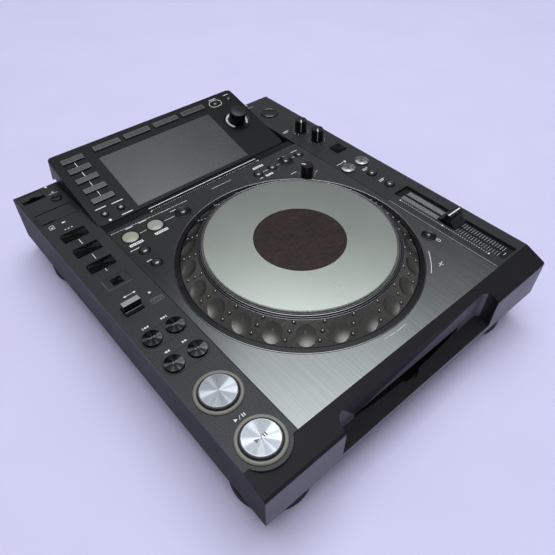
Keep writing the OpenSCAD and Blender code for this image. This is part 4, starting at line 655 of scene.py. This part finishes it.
# Eject button as radius and height over its top: the raised ring and the shallow dish inside it
EJECT_RING = ((7.6, -0.1), (9.9, -0.1), (9.9, 0.1), (9.3, 0.5), (8.4, 0.5), (7.6, 0.1))
EJECT_DISH = ((0.01, -0.1), (7.4, -0.1), (7.4, 0.3), (5, 0.12), (2.4, 0.05), (0.01, 0.04))


def eject_details():
    """Raised ring and shallow dish of the eject button."""
    node = "eject_button"
    x, y = centre(node)
    top = top_of(node)
    ring = Shape().turn(x, y, [(r, top + z) for r, z in EJECT_RING], 72)
    ring.build(node + "_ring", STEP_EDGE, node + "_body")
    dish = Shape().turn(x, y, [(r, top + z) for r, z in EJECT_DISH], 72)
    dish.build(node + "_dish", GLOSS, node + "_body", smooth=40)


def search_outlines():
    """Racetrack lines round the search and track pairs."""
    lines = Shape()
    r = 8.9
    for a, b in SPUN_PAIRS:
        (x0, y), (x1, _) = centre(a), centre(b)
        outline = arc(x1, y, r, -90, 90, 20) + arc(x0, y, r, 90, 270, 20)
        lines.line(outline, 0.45, closed=True)
    lines.build("pair_outlines", DARK)


# ---- printed marks ----

def triangle(shape, x, y, size, way, low=0, high=PRINT_T):
    """Small arrowhead; way is 1 to the right and -1 to the left."""
    tail, half = x - way * size / 2, size / 2
    shape.prism([(tail, y - half), (x + way * half, y), (tail, y + half)], low, high)


def peak(shape, x, y, width, rise, low=0, high=PRINT_T):
    """Small arrowhead that points to the back, on a foot with its middle at x, y."""
    shape.prism([(x - width / 2, y), (x + width / 2, y), (x, y + rise)], low, high)


def dashes(shape, rows):
    """Dashes that stand where the words are: middle x and y, length and thickness."""
    for x, y, length, thickness in rows:
        shape.line([(x - length / 2, y), (x + length / 2, y)], thickness)


def ticks(shape, node, count, first, inner, outer, thickness):
    """Ticks every 30 degrees round a knob, the first of them at an angle in degrees."""
    x, y = centre(node)
    for i in range(count):
        tick = turned([(inner, 0), (outer, 0)], first + 30 * i, x, y)
        shape.line(tick, thickness)


# Strips: dashes, arrowheads with size and way, and the places of the symbols
STRIP_DASHES = ((-137.55, 197.4, 6.9, 0.4), (-126, 365, 8.8, 0.4), (125.1, 371.4, 13, 0.4),
                (123.9, 217, 9, 0.7), (137.3, 194.2, 7.8, 0.7), (136, 192.4, 5.2, 0.7),
                (136.5, 170.4, 8.2, 0.7), (135, 168.6, 5.2, 0.7), (134.1, 26.4, 3.8, 0.45),
                (123.3, 302.6, 8.6, 0.6), (122.3, 300.8, 6.6, 0.6))
STRIP_ARROWS = ((-142.2, 197.4, 2.2, -1), (-132.9, 197.4, 2.2, 1), (-123.8, 188.7, 2.6, 1),
                (-141.4, 52.2, 2.6, 1))
SEARCH_MARK_Y, TRACK_MARK_Y, MARKS_X = 129.2, 158.9, ((-145.6, -1), (-130.2, 1))
PLAY_MARK = (-141.4, 52.2)
CUE_LINE_X, CUE_LINES, CUE_DOTS_Y = -138, ((278.2, 285.6), (253.2, 260.6), (233.6, 237)), 306.2
CARD, CARD_LAMP = (-149.6, 316.3), (-137.9, 317)
CARD_OUTLINE = ((-2.2, -2.6), (2.2, -2.6), (2.2, 2.6), (-0.8, 2.6), (-2.2, 1.2))
CARD_DOOR = (-137.7, 332.8, 38.3, 18.1)
PORT, STOP, EJECT, SYNC = (-127.4, 379.2), (-125.8, 366.4), (126, 378.4), (131.2, 217)
# Dots beside the fader, with a big one at both ends and in the middle
SCALE_X, SCALE_Y, SCALE_STEP, SCALE_DOTS = 124.2, 35.8, 2.485, 41
# Recess of the call key, the seam behind the tempo buttons, and the direction lamp
CALL_X0, CALL_X1, CALL_Y0, CALL_Y1 = -148.3, -126.2, 211, 224.4
SEAM_Y = 249.2
DIRECTION_LAMP = (-123.4, 178.4)


def strip_print():
    """Plain symbols, dashes and dots printed on the strips, and painted shade and highlight on the edges of
    the call key's recess.
    """
    ink = Shape()
    dashes(ink, STRIP_DASHES)
    for x, y, size, way in STRIP_ARROWS:
        triangle(ink, x, y, size, way)
    # double arrowheads of the search and track pairs
    for x, way in MARKS_X:
        for dx in (-1.1, 1.1):
            triangle(ink, x + dx, SEARCH_MARK_Y, 2.2, way)
            triangle(ink, x + dx, TRACK_MARK_Y, 2.2, way)
        ink.box(x + way * 2.8, TRACK_MARK_Y, 0.5, 2.2)
    # slash and pause bars behind the play arrowhead
    x, y = PLAY_MARK
    ink.line([(x + 2.3, y - 1.4), (x + 3.9, y + 1.4)], 0.35)
    for dx in (5.5, 7.1):
        ink.box(x + dx, y, 0.8, 2.6)
    # lines between the hot cue keys, and dots in front of the card door
    for y0, y1 in CUE_LINES:
        ink.line([(CUE_LINE_X, y0), (CUE_LINE_X, y1)], 0.55)
    for dx in (-3.1, 0.1, 3.3):
        ink.disc(CUE_LINE_X + dx, CUE_DOTS_Y, 0.7)
    # card and its lamp
    x, y = CARD
    ink.line(turned(CARD_OUTLINE, 0, x, y), 0.4, closed=True)
    ink.box(x, y - 0.7, 1.8, 1.4)
    ink.box(*CARD_LAMP, 3.4, 1.6, radius=0.5)
    # port, stop and eject
    ink.box(*PORT, 2.2, 2.2)
    peak(ink, *STOP, 2.8, 2.2)
    peak(ink, *EJECT, 3.6, 2.4)
    ink.box(EJECT[0], EJECT[1] - 1.1, 3.6, 0.7)
    # ringed dot of the sync button
    ink.band(*SYNC, 0.9, 1.5, n=20)
    ink.disc(*SYNC, 0.5)
    for i in range(SCALE_DOTS):
        ink.disc(SCALE_X, SCALE_Y + i * SCALE_STEP, 0.45 if i % 20 else 0.95)
    for node in ("brake_knob", "start_knob"):
        ticks(ink, node, 11, -60, 8, 9.2, 0.45)
    ink.build("strip_print", PRINT)

    dark = Shape()
    dark.line([(PLATE_HALF + 0.4, SEAM_Y), (HALF_W - 0.5, SEAM_Y)], 0.4)
    # painted shade: dark lines on the right and rear walls of the call key's recess
    dark.line([(CALL_X1, CALL_Y1), (CALL_X1, CALL_Y0)], 0.6)
    dark.line([(CALL_X0, CALL_Y1 + 0.2), (CALL_X1, CALL_Y1 + 0.2)], 0.35)
    dark.rim(*CARD_DOOR, 0.4, 0.5)
    dark.build("strip_lines", DARK)

    pale = Shape()
    # painted highlight: pale lines on the left and front edges of the call key's recess
    pale.line([(CALL_X0, CALL_Y1), (CALL_X0, CALL_Y0), (CALL_X1, CALL_Y0)], 0.35)
    pale.rim(*DIRECTION_LAMP, 10.2, 4.8, 0.3, 0.35, high=PRINT_T + 0.04)
    pale.build("strip_recess_edges", PRINT_DIM)

    Shape().box(*DIRECTION_LAMP, 9.8, 4.4).build("direction_lamp", LENS_GREY, slot="grey_key")
    tint = Shape().rim(*DIRECTION_LAMP, 6.4, 2, 0.3, 0.3, PRINT_T, PRINT_T + 0.06)
    tint.build("direction_lamp_mark", PRINT_DIM)


# Plate: boxes with width and depth, dashes, joining lines of the rows among them, and slanted lines
PLATE_BOXES = ((-101.7, 247.3, 13.5, 3.2), (-75.8, 247.1, 13.5, 3.2), (55.2, 268.8, 13, 3),
               (55.8, 251, 9, 2.6))
PLATE_DASHES = ((-107, 241.2, 9, 0.7), (-104.6, 221, 5, 0.7), (84.6, 266.4, 9, 0.7),
                (103.2, 266.4, 8, 0.7), (45.6, 251, 4, 0.7), (-52, 265.4, 6, 0.7),
                (75.8, 236.6, 7.6, 0.6), (-88.9, 257.6, 7.4, 0.45), (-60.8, 257.6, 11.2, 0.45),
                (56.6, 258.4, 6.8, 0.4), (73.9, 258.4, 4.6, 0.4), (95, 258.4, 4.8, 0.4))
PLATE_LINES = (((-113.4, 272.3), (-33, 269.8), 0.35), ((-4, 269.4), (20, 269), 0.35),
               ((-100, 270.4), (-92.5, 270.2), 0.8), ((-86, 270.4), (-78.5, 270.2), 0.8),
               ((-62, 270.4), (-54.5, 270.2), 0.8), ((78.6, 54), (85.2, 56.2), 0.5),
               ((81.2, 56.8), (82.6, 52.8), 0.5), ((94, 222.6), (98, 224.2), 0.4))
RESET_MARK = (105.1, 75.2)
# Ends of the curved line at the jog's front right, and of the faint one at its front in degrees
EDGE_ARROW, EDGE_LINE = ((67.3, 52.4), (87.1, 71.8)), (262, 274)
# Big dishes round buttons of the plate: name and radius
BIG_SEATS = (("reloop_button", 8.2), ("delete_button", 8.2), ("tempo_reset_button", 6.8))
# Joints between plate and strips, and the painted highlight on the plate's edge beside the fader: middle y
# and length
JOINT_Y, JOINT_LENGTH, HIGHLIGHT_Y, HIGHLIGHT_LENGTH = 149, 256, 82, 121


def plate_print():
    """Boxes, lines and ticks printed on the brushed plate."""
    ink, bars = Shape(), Shape()
    for x, y, w, d in PLATE_BOXES:
        ink.box(x, y, w, d, radius=0.4)
        count = int(w / 1.9)
        for i in range(count):
            bars.box(x + (i - (count - 1) / 2) * 1.75, y, 0.8, d * 0.5, PRINT_T, PRINT_T + 0.02)
    dashes(ink, PLATE_DASHES)
    for start, end, thickness in PLATE_LINES:
        ink.line([start, end], thickness)
    ink.rim(*RESET_MARK, 2.6, 3.6, 1.2, 0.5)
    start, end = (math.degrees(math.atan2(y - JOG_Y, x - JOG_X)) for x, y in EDGE_ARROW)
    ink.band(JOG_X, JOG_Y, JOG_LINE_R, JOG_LINE_R + 0.55, start=start, end=end, n=16)
    ink.band(JOG_X, JOG_Y, JOG_LINE_R, JOG_LINE_R + 0.3, start=EDGE_LINE[0], end=EDGE_LINE[1], n=16)
    ticks(ink, "jog_adjust_knob", 9, -120, 7.6, 8.7, 0.4)
    ink.build("plate_print", PRINT)
    bars.build("plate_box_bars", DARK)


def plate_seats():
    """Painted shade of the wells round the plate's buttons, dishes round them, and the edges of the plate,
    with a painted highlight beside the fader.
    """
    shaded_wells, seats = Shape(), Shape()
    for node in ("loop_in_button", "loop_out_button"):
        x, y = centre(node)
        # painted shade: a flat dark ring stands in for the shaded well round the cap, and shows farther out
        # behind it
        shaded_wells.band(x + 0.45, y + 0.55, 7.95, 8.75, 0, 0.06)
        shaded_wells.band(x, y, 7.35, 8.1, 0, 0.04)
    for node, r in BIG_SEATS:
        x, y = centre(node)
        # painted shade: a dark ring set towards the back of the dish
        shaded_wells.band(x + 0.25, y + 0.3, 4.6, 6.4, 0, 0.05)
        seats.turn(x, y, [(r - 3.3, 0), (r, 0), (r, 0.42), (r - 0.5, 0.6), (r - 1.1, 0.4),
                          (r - 3.2, 0.1)], 48)
    for name in ("loop_mode", "slip", "call_prev", "call_next", "memory"):
        x, y = centre(name + "_button")
        seats.turn(x, y, [(4.75, 0), (5.5, 0), (5.35, 0.2), (4.85, 0.2)], 40)
    shaded_wells.build("button_wells_painted_shade", DARK)
    seats.build("button_seats", BEZEL)

    joint = Shape()
    for side in (-1, 1):
        joint.box(side * PLATE_HALF, JOINT_Y, 0.7, JOINT_LENGTH, -0.3, 0.03)
    joint.build("plate_joints", DARK)
    # painted highlight: a pale line on the deck stands for the light on the plate's edge
    edge = Shape().box(PLATE_HALF + 0.75, HIGHLIGHT_Y, 0.4, HIGHLIGHT_LENGTH, 0, 0.04)
    edge.build("plate_edge_painted_highlight", PRINT_MID)


# Touch strip: middle and length of the white line, a painted highlight, and its ticks
TOUCH_X, TOUCH_HIGHLIGHT_Y, TOUCH_HIGHLIGHT_LENGTH = -2.1, 283.5, 131
TOUCH_TICKS, TOUCH_TICK_X, TOUCH_TICK_Y, TOUCH_PITCH = 66, -66, 279.4, 2


def needle_strip():
    """White line, a painted highlight, and ticks of the touch strip in front of the hood, which lies below
    the deck.
    """
    low, high = TOUCH_FLOOR, TOUCH_FLOOR + PRINT_T
    ink = Shape()
    # painted highlight: the white line stands for the light along a thin raised bar of the strip
    ink.box(TOUCH_X, TOUCH_HIGHLIGHT_Y, TOUCH_HIGHLIGHT_LENGTH, 0.85, low, high, radius=0.3)
    for i in range(TOUCH_TICKS):
        ink.box(TOUCH_TICK_X + i * TOUCH_PITCH, TOUCH_TICK_Y, 0.35, 0.9 if i % 4 else 1.5, low, high)
    for side in (-1, 1):
        peak(ink, TOUCH_X + side * 65.3, TOUCH_TICK_Y - 1.6, 1.8, 1.8, low, high)
    ink.build("needle_scale", PRINT)


# ---- pieces on the hood ----

# Hood: dashes, a dot, and the oval round the back button
HOOD_DASHES = ((-104, 19.8, 11, 0.9), (-87, 19, 12, 0.9), (-86, 2.6, 11.5, 0.9),
               (79, 94.6, 9, 0.8), (97.6, 94, 6, 0.8))
HOOD_DOT = (-103.6, 3)
BACK_OVAL = (78.6, 87.5, 15, 10, 4.9)
# The lit ring round the selector runs from angle to angle in degrees; at its front, in the knob's shade, a
# dark band is drawn instead: painted shade
RING_START, RING_END = -52, 222


def hood_print():
    """Lines and marks on the hood, and painted highlights on the rims of its keys."""
    ink = Shape()
    for x, y, _, _ in SOURCE_KEYS[:-1]:
        ink.line([(x, y + 4), (x, y + 10.6)], 0.55)
    dashes(ink, HOOD_DASHES)
    ink.disc(*HOOD_DOT, 1.3, n=20)
    ink.rim(*BACK_OVAL, 0.5)
    ink.build("hood_print", PRINT, place=HOOD_FRAME)

    top = HOOD_KEY_TOP
    for row, keys in (("source_keys", SOURCE_KEYS), ("menu_keys", MENU_KEYS)):
        # painted highlight: pale lines round the clear keys stand for the light that their edges catch
        rim_highlights = Shape()
        for x, y, w, d in keys:
            rim_highlights.rim(x, y, w - 0.4, d - 0.4, 0.5, 0.4, top, top + PRINT_T)
        rim_highlights.build(row + "_rim_highlights", PRINT_DIM, row + "_body", place=HOOD_FRAME, slot="grey_key")


def hood_details():
    """Lit ring and dish of the selector with painted shade across the ring's front, slim frame of the
    screen and seats of the two buttons.
    """
    x, y = SELECTOR
    ring = Shape().band(x, y, 10, 12.3, 0, 0.7, start=RING_START, end=RING_END, n=60)
    ring.build("selector_ring", LIT_RING, place=HOOD_FRAME, edges=0.3)
    seat = Shape()
    # painted shade: the dark band across the lit ring's front
    seat.band(x, y, 9.3, 12.3, 0, 0.5, start=RING_END, end=RING_START + 360, n=20)
    seat.turn(x, y, [(13.4, 0), (15.4, 0), (15.2, 0.16), (13.6, 0.1)], 72)
    seat.build("selector_seat", BEZEL, place=HOOD_FRAME)

    trim = Shape().rim(SCREEN_X, SCREEN_Y, SCREEN_W + 3, SCREEN_D + 3, 1.2, 0.5, high=1.6 * PRINT_T)
    trim.build("screen_trim", DARK, place=HOOD_FRAME)

    seats = Shape()
    for _, x, y in HOOD_BUTTONS:
        seats.turn(x, y, [(4.3, 0), (5.1, 0), (5, 0.2), (4.4, 0.2)], 36)
    seats.build("hood_button_seats", BEZEL, place=HOOD_FRAME)


# ---- fader, knobs and rear panel ----

# Fader's ladder: pitch of its rungs, its ends, and where every second rung starts; then the rungs'
# ends and the lines along it
LADDER_PITCH, LADDER_Y0, LADDER_Y1, LADDER_HALF_Y = 1.35, 31, 139, 85
LADDER_RUNGS, LADDER_LINES = ((129.6, 136.2), (139.2, 145.6)), (130.8, 133, 135.2, 140.4, 142.5, 144.6)
SLIT_X, SLIT_Y, SLIT_LENGTH = 137.6, 84.7, 116


def fader_details():
    """Ladder of rungs in the fader's channel, its slit, and the white line on the cap."""
    floor = CHANNEL_FLOOR
    ladder = Shape()
    for i in range(int((LADDER_Y1 - LADDER_Y0) / LADDER_PITCH) + 1):
        y = LADDER_Y0 + i * LADDER_PITCH
        if y < LADDER_HALF_Y and i % 2:
            continue
        for x0, x1 in LADDER_RUNGS:
            ladder.box((x0 + x1) / 2, y, x1 - x0, 0.36, floor, floor + PRINT_T)
    middle, length = (LADDER_HALF_Y + LADDER_Y1) / 2, LADDER_Y1 - LADDER_HALF_Y
    for x in LADDER_LINES:
        ladder.box(x, middle, 0.22, length, floor, floor + PRINT_T)
    ladder.build("fader_ladder", PRINT_MID)
    Shape().box(SLIT_X, SLIT_Y, 2.2, SLIT_LENGTH, floor, floor + 0.03).build("fader_slit", DARK)
    node = "tempo_fader"
    low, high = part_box(node)
    x, y = centre(node)
    top = top_of(node)
    line = Shape().box(x, y, (high[0] - low[0]) / MM - 0.6, 1.3, top, top + PRINT_T)
    line.build("fader_line", PRINT, node + "_body")


def ribs(x, y, r, count, half, tip_half, rise, low, high):
    """Ribs round a knob of radius r, each a little narrower at its tip."""
    shape = Shape()
    rib = [(r - 0.1, -half), (r + rise, -tip_half), (r + rise, tip_half), (r - 0.1, half)]
    for i in range(count):
        shape.prism(turned(rib, 360 * i / count, x, y), low, high)
    return shape


# Pointer knobs: name, radius, height, the pointer's angle, where it starts, and its width
KNOBS = (("brake_knob", 6.1, 14, -132, 0.4, 1), ("start_knob", 6.1, 14, -132, 0.4, 1),
         ("jog_adjust_knob", 5.8, 12.4, 119, 1.6, 1.2))


def knob_details():
    """Ribs and pointers of the knobs."""
    for node, r, top, way, start, width in KNOBS:
        x, y = centre(node)
        body = node + "_body"
        ribs(x, y, r, 24, 0.38, 0.228, 0.32, 0.9, top - 1).build(node + "_ribs", KNOB, body)
        pointer = Shape()
        pointer.line(turned([(start, 0), (r - 0.2, 0)], way, x, y), width, top, top + PRINT_T)
        side = [(r + 0.28, -0.45), (r + 0.28, 0.45), (r - 0.22, 0.45), (r - 0.22, -0.45)]
        pointer.prism(turned(side, way, x, y), 2, top + PRINT_T)
        pointer.build(node + "_pointer", PRINT, body)


def selector_details():
    """Ribs round the selector and its shallow top."""
    x, y = SELECTOR
    top, body = SELECTOR_H, "selector_knob_body"
    wheel = ribs(x, y, SELECTOR_R, 36, 0.42, 0.21, 0.35, 1.2, top - 1.2)
    wheel.build("selector_ribs", KNOB, body, place=HOOD_FRAME)
    cap = Shape()
    cap.turn(x, y, [(0.01, top - 0.1), (7.3, top - 0.1), (7.3, top + 0.02), (7, top + 0.1),
                    (0.01, top + 0.1)], 64)
    cap.build("selector_cap", KNOB, body, place=HOOD_FRAME)


# Rear panel, in its own frame: screws, dashes, the bracket of two phonos and the switch's marks
REAR_SCREWS = ((-147, 54), (147, 54), (-147, 16), (147, 16), (14, 54), (-62, 54), (72, 54), (14, 16))
SCREW_PROFILE = [(0.01, 0), (2.9, 0), (2.7, 0.7), (1.9, 1.1), (0.01, 1.2)]
REAR_DASHES = ((99, 42.6, 7, 0.8), (85, 42.6, 7, 0.8), (62, 42.6, 9, 0.8), (42, 37.6, 8, 0.8),
               (-2, 42, 14, 0.8), (-32, 40.4, 10, 0.8), (-92, 51, 16, 0.8))
PHONO_BRACKET = [(80, 22), (80, 20.4), (104, 20.4), (104, 22)]
SWITCH_MARK_X, SWITCH_ON_Y, SWITCH_OFF_Y = -126, (49, 51.6), 21.6


def rear_details():
    """Contacts, rings, screws and plain marks on the rear panel."""
    face = SOCKET_FACE
    metal = Shape()
    for x in PHONOS_X:
        metal.band(-x, PHONO_Z + DECK_UP, 4.2, 5.4, face, face + 0.3, n=40)
    metal.band(*JACK, 1.85, 3.3, face, face + 0.5, n=32)
    metal.rim(*LAN, 12.6, 9, 0.4, 0.5, face, face + 0.12)
    metal.rim(*USB_B, 9.2, 8.6, 0.8, 0.5, face, face + 0.12)
    metal.build("rear_metal_rings", NICKEL, place=REAR_FRAME)
    pins = Shape()
    for i in range(8):
        pins.box(LAN[0] + (i - 3.5) * 1.02, LAN[1] + 3.6, 0.45, 0.5, -9.5, -1.2)
    for dx, dy in corners(1.6, 1.75):
        pins.box(USB_B[0] + dx, USB_B[1] + dy, 0.7, 0.3, -8.6, -0.7)
    pins.build("rear_contacts", GOLD, place=REAR_FRAME)
    tongue = Shape().box(*USB_B, 5.2, 3.2, -9, -0.5, radius=0.3)
    tongue.build("usb_b_tongue", WHITE_PLASTIC, place=REAR_FRAME)
    inlet = Shape().rim(-INLET_X, INLET_Z + DECK_UP, 27, 19, 2, 1, face, face + 0.5)
    inlet.build("inlet_frame", SOCKET, place=REAR_FRAME)

    heads, slots = Shape(), Shape()
    for x, y in REAR_SCREWS:
        heads.turn(x, y, SCREW_PROFILE, 28)
        slots.box(x, y, 3, 0.6, 1, 1.24, turn=20)
        slots.box(x, y, 3, 0.6, 1, 1.23, turn=110)
    heads.build("rear_screws", STEEL, place=REAR_FRAME)
    slots.build("rear_screw_slots", DARK, place=REAR_FRAME)

    ink = Shape()
    dashes(ink, REAR_DASHES)
    ink.line(PHONO_BRACKET, 0.4)
    ink.line([(SWITCH_MARK_X, y) for y in SWITCH_ON_Y], 0.6)
    ink.band(SWITCH_MARK_X, SWITCH_OFF_Y, 1, 1.5, n=24)
    ink.build("rear_print", PRINT, place=REAR_FRAME)


# ---- stage: places in metres ----

# Room light by the sine of its height, and how much more of it comes from beyond the player
ROOM_LEVELS = ((0, 0.36), (0.40, 0.24), (0.56, 0.18), (0.68, 0.11), (0.83, 0.15), (0.91, 2.4), (1, 3.5))
FAR_WAY, FAR_SHARE = (0.654, 0.756, 0), 0.1
# Plain colour that the camera sees beyond the table
BACKDROP = (0.62, 0.6, 0.84, 1)
# One lamp inside the other, so that its reflection fades out: name, width, depth, watts, place
LAMPS = (("softbox_wide", 0.95, 0.75, 1.3, (0.45, 0.30, 1.22)),
         ("softbox_core", 0.58, 0.44, 1, (0.43, 0.29, 1.2)))
LAMP_AIM = Vector((-0.05, -0.1, DECK))
FLOOR_HALF = 3
# The photograph's camera: place, turn in degrees and lens in millimetres
CAMERA_PLACE, CAMERA_TURN = (-0.238264, -0.303176, 0.397119), (44.26362, -0.09122, -40.82995)
CAMERA_LENS = 34.718


def room():
    """Soft room light: dark low down and on the camera's side, pale overhead and beyond the player."""
    world = bpy.data.worlds.new("room")
    bpy.context.scene.world = world
    n = Nodes(world)
    back, way = n.tree.nodes["Background"], n.coordinates["Generated"]
    ramp = n.new("ValToRGB", {"Fac": n.new("SeparateXYZ", {"Vector": way}).outputs["Z"]})
    elements = ramp.color_ramp.elements
    while len(elements) < len(ROOM_LEVELS):
        elements.new(0.5)
    for element, (position, level) in zip(elements, ROOM_LEVELS):
        element.position = position
        element.color = (level * 0.98, level, level * 1.03, 1)
    n.link(ramp.outputs["Color"], back.inputs["Color"])
    beyond = n.vector("DOT_PRODUCT", way, FAR_WAY)["Value"]
    n.link(n.span(beyond, 1 - FAR_SHARE, 1 + FAR_SHARE, -1, 1), back.inputs["Strength"])
    plain = n.new("Background", {"Color": BACKDROP})
    seen = n.new("LightPath").outputs["Is Camera Ray"]
    room_light, flat_light = back.outputs["Background"], plain.outputs["Background"]
    pick = n.new("MixShader", {"Fac": seen, 1: room_light, 2: flat_light})
    n.link(pick.outputs["Shader"], n.tree.nodes["World Output"].inputs["Surface"])


def stage():
    """Pale table and one large lamp over the far right."""
    floor = bpy.data.meshes.new("floor")
    floor.from_pydata([(x, y, 0) for x, y in corners(FLOOR_HALF, FLOOR_HALF)], [], [(0, 1, 2, 3)])
    top = Nodes(bpy.data.materials.new("floor_pale"))
    colour = top.blend(top.noise(9, 3), (0.71, 0.69, 0.975), (0.735, 0.715, 0.99))
    top.feed(top.shader, {"Base Color": colour, "Roughness": 0.55})
    floor.materials.append(top.owner)
    table = put("floor", floor)

    for name, width, depth, power, spot in LAMPS:
        lamp = bpy.data.lights.new(name, "AREA")
        lamp.shape, lamp.size, lamp.size_y, lamp.energy = "RECTANGLE", width, depth, power
        lamp.color = (0.96, 0.98, 1)
        box = put(name, lamp)
        box.location = spot
        box.rotation_euler = (LAMP_AIM - Vector(spot)).to_track_quat("-Z", "Y").to_euler()


def camera():
    """The photograph's camera."""
    lens = bpy.data.cameras.new("camera")
    lens.lens, lens.sensor_width = CAMERA_LENS, 36
    lens.clip_start, lens.clip_end = 0.01, 20
    eye = put("camera", lens)
    eye.location = CAMERA_PLACE
    eye.rotation_euler = [math.radians(a) for a in CAMERA_TURN]
    bpy.context.scene.camera = eye


camera()
dress_all()
jog_details()
transport_details()
facet_caps()
cap_symbols()
small_domes()
eject_details()
search_outlines()
strip_print()
plate_print()
plate_seats()
needle_strip()
hood_print()
hood_details()
fader_details()
knob_details()
selector_details()
rear_details()
stage()
room()
bpy.context.scene.view_settings.view_transform = "Standard"
